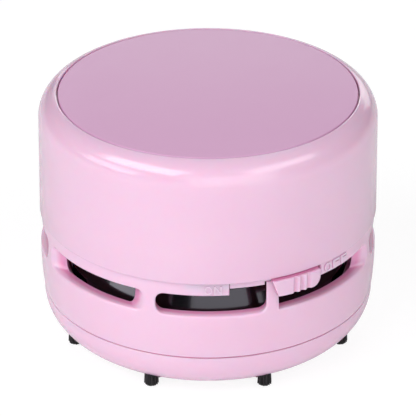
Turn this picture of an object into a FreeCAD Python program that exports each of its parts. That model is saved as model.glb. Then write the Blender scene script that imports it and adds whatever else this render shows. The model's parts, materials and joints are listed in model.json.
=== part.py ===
import FreeCAD, Part
import math
import os
import Sketcher

# Desktop mini vacuum cleaner, +Z up, origin on the desk under its centre, millimetres and degrees.
# Angles round the upright axis count from the front (-Y) towards the right (+X).

SIZES = {
    # Heights of the shells, one on top of the other
    "ground_gap": 3.4,
    "tray_height": 8.8,
    "body_height": 20.65,
    "housing_height": 30.85,
    # Dust tray
    "foot_step": 4.2,
    "rim_step": 0.1,
    "tray_corner_radius": 9.8,
    "tray_floor": 1.6,
    "spigot_wall": 1.6,
    "spigot_height": 4.2,
    "inlet_radius": 8.0,
    "inlet_wall": 1.5,
    "inlet_drop": 1.2,
    "inlet_flare": 1.2,
    "seam_chamfer": 0.3,
    # Bristle tufts
    "tuft_count": 8,
    "tuft_first_angle": 22.5,
    "tuft_inset": 1.2,
    "tuft_row_gap": 4.0,
    "tuft_tip_radius": 1.55,
    "tuft_neck_radius": 1.45,
    "tuft_root_radius": 1.0,
    "tuft_socket_depth": 1.0,
    "inner_tuft_lift": 0.2,
    # Lower body
    "seam_step": 0.5,
    "band_step": 0.85,
    "body_bulge_radius": 79.0,
    "body_wall": 2.3,
    "deck_thickness": 1.8,
    "deck_lip": 3.0,
    "body_spigot_wall": 1.8,
    "seal_flange_height": 4.8,
    "seal_flange_thickness": 1.4,
    # Exhaust windows
    "window_count": 8,
    "window_offset_angle": 1.0,
    "band_height": 3.4,
    "window_height": 5.35,
    "window_corner_radius": 2.0,
    "window_half_angle": 19.57,
    "flared_inner_angle": 17.52,
    "flared_outer_angle": 21.04,
    # Notch and channel of the switch slide
    "notch_start_angle": 7.0,
    "pillar_start_angle": 20.3,
    "pillar_end_angle": 26.0,
    "notch_end_angle": 40.7,
    "left_notch_height": 4.6,
    "right_notch_height": 2.85,
    "notch_shelf": 1.5,
    "channel_depth": 1.0,
    "channel_width": 5.6,
    "channel_edge": 0.75,
    # Upper housing and its disc
    "housing_radius": 42.0,
    "shoulder_radius": 6.7,
    "shoulder_drop": 5.7,
    "shoulder_run": 4.3,
    "housing_draft": 0.4,
    "housing_wall": 2.0,
    "housing_edge": 0.3,
    "roof_thickness": 1.8,
    "roof_corner_run": 2.6,
    "roof_corner_drop": 3.1,
    "plate_thickness": 1.8,
    "plate_gap": 0.4,
    "plate_edge_radius": 0.35,
    "recess_lip": 0.25,
    # Switch slide
    "slide_angle_start": 8.0,
    "slide_angle_end": 40.0,
    "slide_travel_angle": 13.5,
    "slide_inset": 0.2,
    "slide_play": 0.1,
    "neck_start_angle": 27.0,
    "neck_end_angle": 38.0,
    "knob_start_angle": 22.5,
    "knob_end_angle": 38.6,
    "knob_gap": 0.5,
    "knob_thickness": 1.0,
    "knob_height": 4.8,
    "rib_first_angle": 29.3,
    "rib_pitch_angle": 2.2,
    "rib_width_angle": 1.1,
    "rib_count": 4,
    "rib_depth": 0.3,
    "tab_start_angle": 28.0,
    "tab_end_angle": 37.0,
    "tab_height": 3.45,
    "tab_thickness": 1.6,
    # Sliding contact
    "clip_thickness": 0.3,
    "clip_margin_angle": 1.0,
    "clip_leaf_height": 2.8,
    "blade_thickness": 0.4,
    "blade_gap": 0.3,
    "blade_height": 3.5,
    "long_blade_start": 7.5,
    "long_blade_end": 40.0,
    "short_blade_start": 6.0,
    "short_blade_end": 22.0,
    # Fan housing and what it holds
    "exhaust_gap": 4.2,
    "drum_wall": 1.6,
    "drum_clearance": 0.3,
    "drum_mouth_drop": 4.0,
    "port_height": 2.7,
    "port_half_width": 5.0,
    "port_corner_radius": 1.0,
    "boss_radius": 2.4,
    "boss_length": 6.0,
    "boss_hole_radius": 0.95,
    "push_fit_gap": 0.1,
    "eye_radius": 12.0,
    "eye_plate": 1.2,
    "eye_lip": 1.1,
    "filter_frame_height": 3.4,
    "filter_ring_width": 2.7,
    "filter_ledge_width": 1.6,
    "filter_spoke_height": 1.4,
    "filter_spoke_width": 1.6,
    "filter_hub_radius": 4.0,
    "mesh_thickness": 0.6,
    "seal_gap": 0.05,
    # Impeller
    "scroll_gap": 5.9,
    "fan_plate": 1.2,
    "fan_hub_radius": 4.0,
    "blade_count": 9,
    "fan_top_gap": 2.15,
    "fan_blade_inner": 8.0,
    "fan_blade_inset": 1.0,
    "fan_blade_sweep": 38.0,
    "fan_blade_thickness": 1.2,
    "fan_blade_curve": 26.0,
    "fan_eye_gap": 0.5,
    # Motor
    "motor_radius": 10.05,
    "motor_half_flat": 7.55,
    "motor_headroom": 3.95,
    "motor_wall": 0.8,
    "motor_boss_radius": 3.07,
    "motor_boss_height": 1.45,
    "motor_boss_play": 0.13,
    "bush_radius": 2.55,
    "bush_play": 0.05,
    "bush_height": 2.4,
    "shaft_radius": 1.0,
    "shaft_running_gap": 0.03,
    "shaft_end": 0.25,
    "end_cap_thickness": 3.5,
    "end_cap_boss_radius": 4.0,
    "end_cap_boss_height": 1.1,
    "magnet_half_angle": 35.0,
    "magnet_end": 4.5,
    "magnet_start": 4.0,
    "air_gap": 0.4,
    "core_inset": 1.0,
    "core_slot_width": 1.6,
    "core_slot_floor": 3.2,
    "commutator_radius": 2.2,
    "commutator_height": 3.0,
    "commutator_gap": 1.5,
    "terminal_spread": 6.0,
    "terminal_width": 2.4,
    "terminal_thickness": 0.5,
    "terminal_height": 3.0,
    # Battery holder, cells and contacts
    "holder_side_wall": 2.6,
    "spring_length": 3.5,
    "holder_gap": 0.5,
    "holder_end_wall": 2.1,
    "holder_end_rise": 6.0,
    "holder_end_reach": 5.4,
    "cell_axis_height": 9.6,
    "holder_web": 1.95,
    "cell_radius": 7.25,
    "cell_length": 49.5,
    "cell_nub_radius": 2.75,
    "cell_nub_length": 1.0,
    "cell_play": 0.15,
    "motor_well_play": 0.1,
    "ear_half_width": 3.2,
    "ear_length": 5.1,
    "ear_thickness": 1.8,
    "relief_gap": 0.4,
    "relief_start_angle": -8.0,
    "relief_end_angle": 46.0,
    "relief_height": 4.35,
    "contact_radius": 6.8,
    "contact_thickness": 0.4,
    "bridge_rise": 0.6,
    "bridge_height": 4.0,
    "lug_half_width": 1.5,
    "lug_top": 9.0,
    "spring_wide_radius": 4.5,
    "spring_narrow_radius": 3.0,
    # Screws
    "screw_inset": 1.4,
    "screw_shank_radius": 0.9,
    "screw_clear_radius": 1.2,
    "screw_head_radius": 2.1,
    "screw_head_height": 1.4,
    "screw_length": 8.0,
    # Leads
    "lead_radius": 0.7,
    "lead_clear": 1.0,
    "lead_drop_angle": 10.0,
    "lead_rise_angle": 8.5,
    # The gap between shells that slip into one another, and how far each cut runs past a face
    "slip_gap": 0.3,
    "overrun": 1.0,
}

FULL_TURN = 360
# Share of the shorter run that a lead's bend takes
BEND_SHARE = 0.45
SCREW_COUNT = 4
SPOKE_LINES = 4
SLOT_COUNT = 3
PAIR = 2


class Size:
    """A number together with the sheet expression that gives it."""

    def __init__(self, value, text):
        self.value = value
        self.text = text

    def __add__(self, other):
        other = as_size(other)
        return Size(self.value + other.value, f"({self.text} + {other.text})")

    def __sub__(self, other):
        other = as_size(other)
        return Size(self.value - other.value, f"({self.text} - {other.text})")

    def __mul__(self, other):
        other = as_size(other)
        return Size(self.value * other.value, f"({self.text} * {other.text})")

    def __truediv__(self, other):
        other = as_size(other)
        return Size(self.value / other.value, f"({self.text} / {other.text})")

    def __neg__(self):
        return Size(-self.value, f"(-1 * {self.text})")


def as_size(value):
    if isinstance(value, Size):
        return value
    return Size(value, str(value))


def sine(angle):
    return Size(math.sin(math.radians(angle.value)), f"sin({angle.text})")


def cosine(angle):
    return Size(math.cos(math.radians(angle.value)), f"cos({angle.text})")


def other_leg(hypotenuse, leg):
    value = math.sqrt(hypotenuse.value ** 2 - leg.value ** 2)
    return Size(value, f"sqrt({hypotenuse.text}^2 - {leg.text}^2)")


class Sizes:
    """The sheet of driving sizes, each read as size.name."""

    def __init__(self, document, values):
        sheet = document.addObject("Spreadsheet::Sheet", "Sizes")
        for row, (name, value) in enumerate(values.items(), start=1):
            sheet.set(f"A{row}", name)
            sheet.set(f"B{row}", str(value))
            sheet.setAlias(f"B{row}", name)
            setattr(self, name, Size(value, f"Sizes.{name}"))


document = FreeCAD.newDocument("desk_vacuum")
size = Sizes(document, SIZES)
document.recompute()

ZERO = Size(0, "0")
ZERO_OFFSET = (ZERO, ZERO, ZERO)

# Heights above the desk that several pieces share
tray_z = size.ground_gap
seam_z = tray_z + size.tray_height
deck_z = seam_z + size.body_height
top_z = deck_z + size.housing_height
deck_under_z = deck_z - size.deck_thickness
channel_z = deck_z - size.channel_depth
tray_floor_z = tray_z + size.tray_floor
spigot_top_z = seam_z + size.spigot_height
flange_z = seam_z + size.seal_flange_height
drum_mouth_z = flange_z + size.seal_flange_thickness - size.drum_mouth_drop - size.eye_plate
filter_z = drum_mouth_z + size.push_fit_gap
eye_plate_z = filter_z + size.filter_frame_height
fan_z = eye_plate_z + size.eye_plate + size.eye_lip + size.fan_eye_gap
drum_ceiling_z = deck_under_z - size.drum_wall
fan_plate_z = drum_ceiling_z - size.fan_top_gap - size.fan_plate
fan_blade_height = fan_plate_z - fan_z
plate_z = top_z - size.plate_thickness
roof_under_z = plate_z - size.roof_thickness
motor_z = deck_under_z
motor_top_z = roof_under_z - size.motor_headroom
end_cap_top_z = motor_top_z - size.end_cap_boss_height
motor_can_top_z = end_cap_top_z - size.end_cap_thickness
motor_can_height = motor_can_top_z - motor_z
magnet_height = motor_can_height - size.magnet_start - size.magnet_end
core_start = size.magnet_start + size.core_inset
core_height = magnet_height - size.core_inset * 2
cell_axis_z = deck_z + size.cell_axis_height

# Radii that several pieces share, each a step from the one it sits in or on
seam_radius = size.housing_radius - size.seam_step
band_radius = size.housing_radius - size.band_step
rim_radius = seam_radius - size.rim_step
foot_radius = rim_radius - size.foot_step
outer_tuft_ring = foot_radius - size.tuft_inset
inner_tuft_ring = outer_tuft_ring - size.tuft_row_gap
body_inner = seam_radius - size.body_wall
tray_spigot_outer = body_inner - size.slip_gap
tray_spigot_inner = tray_spigot_outer - size.spigot_wall
housing_inner = size.housing_radius - size.housing_wall
body_spigot_outer = housing_inner - size.slip_gap
body_spigot_inner = body_spigot_outer - size.body_spigot_wall
drum_radius = body_inner - size.exhaust_gap
drum_inner = drum_radius - size.drum_wall
screw_ring = drum_inner - size.screw_inset
deck_opening_radius = screw_ring - size.deck_lip
fan_radius = drum_inner - size.scroll_gap
fan_blade_outer = fan_radius - size.fan_blade_inset
channel_outer_radius = band_radius - size.channel_edge
channel_inner_radius = channel_outer_radius - size.channel_width
notch_inner_radius = channel_inner_radius + size.notch_shelf
slide_inner_radius = channel_inner_radius + size.slide_inset
knob_inner_radius = seam_radius + size.knob_gap
knob_outer_radius = knob_inner_radius + size.knob_thickness
push_fit_radius = drum_inner - size.push_fit_gap
magnet_inner = size.motor_half_flat - size.motor_wall

# Half widths of the windows, measured square to their middle
window_half_width = seam_radius * sine(size.window_half_angle)
flared_inner_half_width = body_inner * sine(size.flared_inner_angle)
flared_outer_half_width = seam_radius * sine(size.flared_outer_angle)

# The battery bay: a cell either side of the motor, a spring at one end of each
cell_spread = (
    size.motor_half_flat + size.motor_well_play + size.holder_web + size.cell_play + size.cell_radius
)
contact_face = (size.cell_length + size.cell_nub_length + size.spring_length) / 2
bay_end = contact_face + size.contact_thickness
holder_half_length = bay_end + size.holder_end_wall
holder_half_width = cell_spread + size.cell_radius + size.cell_play + size.holder_side_wall
holder_end_half_width = cell_spread + size.holder_end_reach
holder_clip_radius = body_spigot_inner - size.holder_gap
relief_radius = slide_inner_radius - size.blade_gap - size.blade_thickness - size.relief_gap


def new_body(label):
    body = document.addObject("PartDesign::Body", label)
    body.Label = label
    return body


def origin_item(body, role):
    return next(item for item in body.Origin.OriginFeatures if item.Role == role)


def bind(item, path, value):
    item.setExpression(path, as_size(value).text)


def place(item, body, plane, offset):
    """Attach to one of the body's own planes, moved by an offset in that plane's axes."""
    item.AttachmentSupport = [(origin_item(body, plane), "")]
    item.MapMode = "FlatFace"
    for axis, value in zip("xyz", offset):
        bind(item, f"AttachmentOffset.Base.{axis}", value)


def new_sketch(body, plane="XY_Plane", offset=ZERO_OFFSET):
    sketch = body.newObject("Sketcher::SketchObject", "outline")
    place(sketch, body, plane, offset)
    return sketch


def fix_point(sketch, edge, end, x, y):
    """Tie one end of an edge to its two coordinates."""
    for kind, axis, value in (("DistanceX", -2, x), ("DistanceY", -1, y)):
        if value.value == 0:
            sketch.addConstraint(Sketcher.Constraint("PointOnObject", edge, end, axis))
        else:
            index = sketch.addConstraint(Sketcher.Constraint(kind, -1, 1, edge, end, value.value))
            bind(sketch, f"Constraints[{index}]", value)


def arc_between(start, end, radius, inward):
    """A circular arc between two points that bulges outward from a counterclockwise outline, or inward."""
    x0, y0 = start[0].value, start[1].value
    x1, y1 = end[0].value, end[1].value
    chord = math.hypot(x1 - x0, y1 - y0)
    reach = math.sqrt(max(radius.value ** 2 - chord ** 2 / 4, 0)) * (-1 if inward else 1)
    centre_x = (x0 + x1) / 2 - (y1 - y0) / chord * reach
    centre_y = (y0 + y1) / 2 + (x1 - x0) / chord * reach
    circle = Part.Circle(FreeCAD.Vector(centre_x, centre_y, 0), FreeCAD.Vector(0, 0, 1), radius.value)
    angle_start = math.atan2(y0 - centre_y, x0 - centre_x)
    angle_end = math.atan2(y1 - centre_y, x1 - centre_x)
    if inward:
        return Part.ArcOfCircle(circle, angle_end, angle_start)
    return Part.ArcOfCircle(circle, angle_start, angle_end)


def outline(sketch, points):
    """Draw a closed counterclockwise outline. A point may name the arc that runs on to the next one."""
    ends = []
    for index, point in enumerate(points):
        following = points[(index + 1) % len(points)]
        radius = point[2] if len(point) > 2 else None
        inward = len(point) > 3
        if radius is None:
            start = FreeCAD.Vector(point[0].value, point[1].value, 0)
            end = FreeCAD.Vector(following[0].value, following[1].value, 0)
            edge = sketch.addGeometry(Part.LineSegment(start, end))
        else:
            edge = sketch.addGeometry(arc_between(point, following, radius, inward))
        ends.append((edge, 2, 1) if inward else (edge, 1, 2))
    for index, point in enumerate(points):
        edge, first, last = ends[index]
        next_edge, next_first, _ = ends[(index + 1) % len(points)]
        sketch.addConstraint(Sketcher.Constraint("Coincident", edge, last, next_edge, next_first))
        fix_point(sketch, edge, first, point[0], point[1])
    for (edge, _, _), point in zip(ends, points):
        if len(point) > 2:
            index = sketch.addConstraint(Sketcher.Constraint("Radius", edge, point[2].value))
            bind(sketch, f"Constraints[{index}]", point[2])


def circle(sketch, radius, x=ZERO, y=ZERO):
    centre = FreeCAD.Vector(x.value, y.value, 0)
    edge = sketch.addGeometry(Part.Circle(centre, FreeCAD.Vector(0, 0, 1), radius.value))
    fix_point(sketch, edge, 3, x, y)
    index = sketch.addConstraint(Sketcher.Constraint("Radius", edge, radius.value))
    bind(sketch, f"Constraints[{index}]", radius)


def polar(radius, angle):
    """A point at an angle from the front."""
    return radius * sine(angle), -(radius * cosine(angle))


def sector_points(inner, outer, start, end):
    return [
        polar(inner, start),
        (*polar(outer, start), outer),
        polar(outer, end),
        (*polar(inner, end), inner, "inward"),
    ]


def rectangle_points(x0, x1, y0, y1):
    return [(x0, y0), (x1, y0), (x1, y1), (x0, y1)]


def rounded_window_points(half_width, low, high, corner):
    inset = half_width - corner
    return [
        (-inset, low),
        (inset, low, corner),
        (half_width, low + corner),
        (half_width, high - corner, corner),
        (inset, high),
        (-inset, high, corner),
        (-half_width, high - corner),
        (-half_width, low + corner, corner),
    ]


def flat_sided_points(radius, half_flat):
    """A circle with two flats, at -X and +X."""
    reach = other_leg(radius, half_flat)
    return [
        (half_flat, -reach),
        (half_flat, reach, radius),
        (-half_flat, reach),
        (-half_flat, -reach, radius),
    ]


def revolve(body, points):
    sketch = new_sketch(body, "XZ_Plane")
    outline(sketch, points)
    feature = body.newObject("PartDesign::Revolution", "turned")
    feature.Profile = sketch
    feature.ReferenceAxis = (origin_item(body, "Z_Axis"), [""])
    feature.Angle = FULL_TURN
    return feature


def pad(body, z, height, draw):
    """Raise what draw puts in a level sketch at z."""
    sketch = new_sketch(body, "XY_Plane", (ZERO, ZERO, z))
    draw(sketch)
    feature = body.newObject("PartDesign::Pad", "raised")
    feature.Profile = sketch
    bind(feature, "Length", height)
    return feature


def pocket(body, z_top, depth, draw):
    """Cut what draw puts in a level sketch at z_top, downwards."""
    sketch = new_sketch(body, "XY_Plane", (ZERO, ZERO, z_top))
    draw(sketch)
    feature = body.newObject("PartDesign::Pocket", "cut")
    feature.Profile = sketch
    bind(feature, "Length", depth)
    return feature


def pattern(body, features, count):
    """Repeat features evenly round the upright axis."""
    repeated = body.newObject("PartDesign::PolarPattern", "repeated")
    repeated.Originals = features
    repeated.Axis = (origin_item(body, "Z_Axis"), [""])
    repeated.Angle = FULL_TURN
    bind(repeated, "Occurrences", count)
    body.Tip = repeated
    return repeated


def cylinder(body, radius, height, offset, plane="XY_Plane"):
    feature = body.newObject("PartDesign::AdditiveCylinder", "rod")
    place(feature, body, plane, offset)
    bind(feature, "Radius", radius)
    bind(feature, "Height", height)
    return feature


def cone(body, radius_start, radius_end, height, offset, plane="XY_Plane"):
    feature = body.newObject("PartDesign::AdditiveCone", "cone")
    place(feature, body, plane, offset)
    bind(feature, "Radius1", radius_start)
    bind(feature, "Radius2", radius_end)
    bind(feature, "Height", height)
    return feature


def box(body, low, high):
    feature = body.newObject("PartDesign::AdditiveBox", "block")
    place(feature, body, "XY_Plane", low)
    for name, start, end in zip(("Length", "Width", "Height"), low, high):
        bind(feature, name, end - start)
    return feature


def radial_window(body, angle, stations, low, high, corner):
    """Cut a rounded window along one radius, through outlines at several distances from the axis."""
    sketches = []
    for distance, half_width in stations:
        offset = (distance * sine(angle), ZERO, distance * cosine(angle))
        sketch = new_sketch(body, "XZ_Plane", ZERO_OFFSET)
        turn = FreeCAD.Rotation(FreeCAD.Vector(0, 1, 0), angle.value)
        sketch.AttachmentOffset = FreeCAD.Placement(FreeCAD.Vector(0, 0, 0), turn)
        for axis, value in zip("xyz", offset):
            bind(sketch, f"AttachmentOffset.Base.{axis}", value)
        bind(sketch, "AttachmentOffset.Rotation.Angle", angle)
        outline(sketch, rounded_window_points(half_width, low, high, corner))
        sketches.append(sketch)
    feature = body.newObject("PartDesign::SubtractiveLoft", "window")
    feature.Profile = sketches[0]
    feature.Sections = sketches[1:]
    feature.Ruled = True
    return feature


def make_dust_tray():
    body = new_body("dust_tray")
    inlet_outer = size.inlet_radius + size.inlet_wall
    inlet_top_z = seam_z - size.inlet_drop
    revolve(body, [
        (size.inlet_radius + size.inlet_flare, tray_z),
        (foot_radius, tray_z, size.tray_corner_radius),
        (rim_radius, seam_z - size.seam_chamfer),
        (rim_radius - size.seam_chamfer, seam_z),
        (tray_spigot_outer, seam_z),
        (tray_spigot_outer, spigot_top_z),
        (tray_spigot_inner, spigot_top_z),
        (tray_spigot_inner, tray_floor_z),
        (inlet_outer, tray_floor_z),
        (inlet_outer, inlet_top_z),
        (size.inlet_radius, inlet_top_z),
        (size.inlet_radius, tray_z + size.inlet_flare),
    ])
    for ring in (outer_tuft_ring, inner_tuft_ring):
        x, y = polar(ring, size.tuft_first_angle)
        socket = pocket(
            body,
            tray_z + size.tuft_socket_depth,
            size.tuft_socket_depth,
            lambda sketch: circle(sketch, size.tuft_root_radius, x, y),
        )
        pattern(body, [socket], size.tuft_count)
    return body


def make_tufts(label, ring, lift):
    """Bristle tufts in a ring, each with its root in a socket of the tray."""
    body = new_body(label)
    x, y = polar(ring, size.tuft_first_angle)
    free_length = size.ground_gap - lift
    bristles = cone(body, size.tuft_tip_radius, size.tuft_neck_radius, free_length, (x, y, lift))
    root = cylinder(body, size.tuft_root_radius, size.tuft_socket_depth, (x, y, tray_z))
    pattern(body, [bristles, root], size.tuft_count)
    return body


def make_seal_ring():
    body = new_body("seal_ring")
    outer = tray_spigot_outer - size.slip_gap
    inner = drum_radius + size.drum_clearance + size.slip_gap
    low = spigot_top_z + size.seal_gap

    def draw(sketch):
        circle(sketch, outer)
        circle(sketch, inner)

    pad(body, low, flange_z - low, draw)
    return body


def cut_windows(body):
    """The exhaust windows: straight ones to the front, back and sides, flared ones between them."""
    high = deck_z - size.band_height
    low = high - size.window_height
    outside = size.housing_radius + size.overrun
    inside = drum_radius
    straight = [(inside, window_half_width), (outside, window_half_width)]
    flare_start = other_leg(body_inner, flared_inner_half_width)
    flare_end = other_leg(seam_radius, flared_outer_half_width)
    flared = [
        (inside, flared_inner_half_width),
        (flare_start, flared_inner_half_width),
        (flare_end, flared_outer_half_width),
        (outside, flared_outer_half_width),
    ]
    step = as_size(FULL_TURN) / size.window_count
    for turn, stations in ((ZERO, straight), (step, flared)):
        window = radial_window(
            body,
            size.window_offset_angle + turn,
            stations,
            low,
            high,
            size.window_corner_radius,
        )
        pattern(body, [window], size.window_count / 2)


def cut_sector(body, z_top, depth, inner, outer, start, end):
    return pocket(
        body,
        z_top,
        depth,
        lambda sketch: outline(sketch, sector_points(inner, outer, start, end)),
    )


def raise_sector(body, z, height, inner, outer, start, end):
    return pad(
        body,
        z,
        height,
        lambda sketch: outline(sketch, sector_points(inner, outer, start, end)),
    )


def make_lower_body():
    body = new_body("lower_body")
    flange_inner = drum_radius + size.drum_clearance
    flange_top_z = flange_z + size.seal_flange_thickness
    spigot_z = deck_z + size.spigot_height
    revolve(body, [
        (body_inner, seam_z),
        (seam_radius - size.seam_chamfer, seam_z),
        (seam_radius, seam_z + size.seam_chamfer, size.body_bulge_radius),
        (band_radius, deck_z),
        (body_spigot_outer, deck_z),
        (body_spigot_outer, spigot_z),
        (body_spigot_inner, spigot_z),
        (body_spigot_inner, deck_z),
        (deck_opening_radius, deck_z),
        (deck_opening_radius, deck_under_z),
        (body_inner, deck_under_z),
        (body_inner, flange_top_z),
        (flange_inner, flange_top_z),
        (flange_inner, flange_z),
        (body_inner, flange_z),
    ])
    cut_windows(body)
    outside = size.housing_radius + size.overrun
    for start, end, depth in (
        (size.notch_start_angle, size.pillar_start_angle, size.left_notch_height),
        (size.pillar_end_angle, size.notch_end_angle, size.right_notch_height),
    ):
        cut_sector(body, channel_z, depth, notch_inner_radius, outside, start, end)
    cut_sector(
        body,
        deck_z,
        size.channel_depth,
        channel_inner_radius,
        channel_outer_radius,
        size.slide_angle_start - size.slide_travel_angle - size.clip_margin_angle,
        size.slide_angle_end + size.clip_margin_angle,
    )
    cut_sector(
        body,
        deck_z,
        size.channel_depth,
        channel_outer_radius - size.slip_gap,
        outside,
        size.notch_start_angle,
        size.notch_end_angle,
    )
    hole = pocket(
        body,
        deck_z,
        size.deck_thickness,
        lambda sketch: circle(sketch, size.screw_clear_radius, screw_ring),
    )
    pattern(body, [hole], SCREW_COUNT)
    return body


def make_fan_housing():
    body = new_body("fan_housing")
    shaft_opening = size.motor_boss_radius + size.motor_boss_play
    revolve(body, [
        (drum_inner, drum_mouth_z),
        (drum_radius, drum_mouth_z),
        (drum_radius, deck_under_z),
        (shaft_opening, deck_under_z),
        (shaft_opening, drum_ceiling_z),
        (drum_inner, drum_ceiling_z),
    ])
    boss = cylinder(
        body,
        size.boss_radius,
        size.boss_length + size.drum_wall / 2,
        (screw_ring, ZERO, drum_ceiling_z - size.boss_length),
    )
    pattern(body, [boss], SCREW_COUNT)
    hole = pocket(
        body,
        deck_under_z,
        size.boss_length + size.drum_wall,
        lambda sketch: circle(sketch, size.boss_hole_radius, screw_ring),
    )
    pattern(body, [hole], SCREW_COUNT)
    low = eye_plate_z + size.eye_plate + size.push_fit_gap
    step = as_size(FULL_TURN) / size.window_count
    port = radial_window(
        body,
        size.window_offset_angle + step / 2,
        [
            (drum_inner - size.boss_radius, size.port_half_width),
            (drum_radius + size.overrun, size.port_half_width),
        ],
        low,
        low + size.port_height,
        size.port_corner_radius,
    )
    pattern(body, [port], size.window_count)
    return body


def make_inlet_plate():
    body = new_body("inlet_plate")
    plate_top_z = eye_plate_z + size.eye_plate
    lip_outer = size.eye_radius + size.eye_plate
    revolve(body, [
        (size.eye_radius, eye_plate_z),
        (push_fit_radius, eye_plate_z),
        (push_fit_radius, plate_top_z),
        (lip_outer, plate_top_z),
        (lip_outer, plate_top_z + size.eye_lip),
        (size.eye_radius, plate_top_z + size.eye_lip),
    ])
    return body


def make_filter_frame():
    body = new_body("filter_frame")
    ring_inner = push_fit_radius - size.filter_ring_width
    ledge_inner = ring_inner - size.filter_ledge_width
    revolve(body, [
        (ledge_inner, filter_z),
        (push_fit_radius, filter_z),
        (push_fit_radius, eye_plate_z),
        (ring_inner, eye_plate_z),
        (ring_inner, filter_z + size.filter_spoke_height),
        (ledge_inner, filter_z + size.filter_spoke_height),
    ])
    half = size.filter_spoke_width / 2
    reach = ledge_inner + size.filter_ledge_width / 2

    def draw(sketch):
        outline(sketch, rectangle_points(-reach, reach, -half, half))

    spoke = pad(body, filter_z, size.filter_spoke_height, draw)
    pattern(body, [spoke], SPOKE_LINES)
    pad(
        body,
        filter_z,
        size.filter_spoke_height,
        lambda sketch: circle(sketch, size.filter_hub_radius),
    )
    return body


def make_filter_mesh():
    body = new_body("filter_mesh")
    radius = push_fit_radius - size.filter_ring_width - size.push_fit_gap
    pad(
        body,
        filter_z + size.filter_spoke_height,
        size.mesh_thickness,
        lambda sketch: circle(sketch, radius),
    )
    return body


def make_impeller():
    body = new_body("impeller")
    plate_top_z = fan_plate_z + size.fan_plate
    revolve(body, [
        (size.shaft_radius, fan_z),
        (size.fan_hub_radius, fan_z),
        (size.fan_hub_radius, fan_plate_z),
        (fan_radius, fan_plate_z),
        (fan_radius, plate_top_z),
        (size.shaft_radius, plate_top_z),
    ])
    tip_x = fan_blade_outer * cosine(size.fan_blade_sweep)
    tip_y = fan_blade_outer * sine(size.fan_blade_sweep)

    def draw(sketch):
        outline(sketch, [
            (size.fan_blade_inner, ZERO, size.fan_blade_curve),
            (tip_x, tip_y),
            (tip_x - size.fan_blade_thickness, tip_y, size.fan_blade_curve, "inward"),
            (size.fan_blade_inner - size.fan_blade_thickness, ZERO),
        ])

    blade = pad(body, fan_z, fan_blade_height, draw)
    pattern(body, [blade], size.blade_count)
    return body


def make_motor_shaft():
    body = new_body("motor_shaft")
    top = motor_top_z + size.shaft_end
    cylinder(body, size.shaft_radius, top - fan_z, (ZERO, ZERO, fan_z))
    return body


def make_armature_core():
    body = new_body("armature_core")
    core_radius = magnet_inner - size.air_gap
    low = motor_z + core_start

    def draw(sketch):
        circle(sketch, core_radius)
        circle(sketch, size.shaft_radius)

    pad(body, low, core_height, draw)
    half = size.core_slot_width / 2
    slot = pocket(
        body,
        low + core_height,
        core_height,
        lambda sketch: outline(
            sketch,
            rectangle_points(size.core_slot_floor, core_radius + size.overrun, -half, half),
        ),
    )
    pattern(body, [slot], SLOT_COUNT)
    return body


def make_commutator():
    body = new_body("commutator")
    low = motor_z + core_start + core_height + size.commutator_gap

    def draw(sketch):
        circle(sketch, size.commutator_radius)
        circle(sketch, size.shaft_radius)

    pad(body, low, size.commutator_height, draw)
    return body


def make_motor_can():
    body = new_body("motor_can")
    pad(
        body,
        motor_z,
        motor_can_height,
        lambda sketch: outline(sketch, flat_sided_points(size.motor_radius, size.motor_half_flat)),
    )
    inner_radius = size.motor_radius - size.motor_wall
    inner_flat = size.motor_half_flat - size.motor_wall
    pocket(
        body,
        motor_can_top_z,
        motor_can_height - size.motor_wall,
        lambda sketch: outline(sketch, flat_sided_points(inner_radius, inner_flat)),
    )
    cylinder(
        body,
        size.motor_boss_radius,
        size.motor_boss_height,
        (ZERO, ZERO, motor_z - size.motor_boss_height),
    )
    pocket(
        body,
        motor_z + size.motor_wall,
        size.motor_wall + size.motor_boss_height,
        lambda sketch: circle(sketch, size.bush_radius + size.bush_play),
    )
    return body


def make_motor_magnets():
    body = new_body("motor_magnets")
    outer = size.motor_radius - size.motor_wall
    magnet = raise_sector(
        body,
        motor_z + size.magnet_start,
        magnet_height,
        magnet_inner,
        outer,
        -size.magnet_half_angle,
        size.magnet_half_angle,
    )
    pattern(body, [magnet], PAIR)
    return body


def make_motor_end_cap():
    body = new_body("motor_end_cap")
    pad(
        body,
        motor_can_top_z,
        size.end_cap_thickness,
        lambda sketch: outline(sketch, flat_sided_points(size.motor_radius, size.motor_half_flat)),
    )
    cylinder(body, size.end_cap_boss_radius, size.end_cap_boss_height, (ZERO, ZERO, end_cap_top_z))
    pocket(
        body,
        motor_top_z,
        size.end_cap_thickness + size.end_cap_boss_height,
        lambda sketch: circle(sketch, size.bush_radius + size.bush_play),
    )
    return body


def make_motor_bushings():
    body = new_body("motor_bushings")

    def draw(sketch):
        circle(sketch, size.bush_radius)
        circle(sketch, size.shaft_radius + size.shaft_running_gap)

    for low in (motor_z - size.motor_boss_height, motor_top_z - size.bush_height):
        pad(body, low, size.bush_height, draw)
    return body


def make_motor_terminals():
    body = new_body("motor_terminals")
    half_width = size.terminal_width / 2
    half_thickness = size.terminal_thickness / 2
    low = (size.terminal_spread - half_thickness, -half_width, end_cap_top_z)
    high = (size.terminal_spread + half_thickness, half_width, end_cap_top_z + size.terminal_height)
    tab = box(body, low, high)
    pattern(body, [tab], PAIR)
    return body


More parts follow.
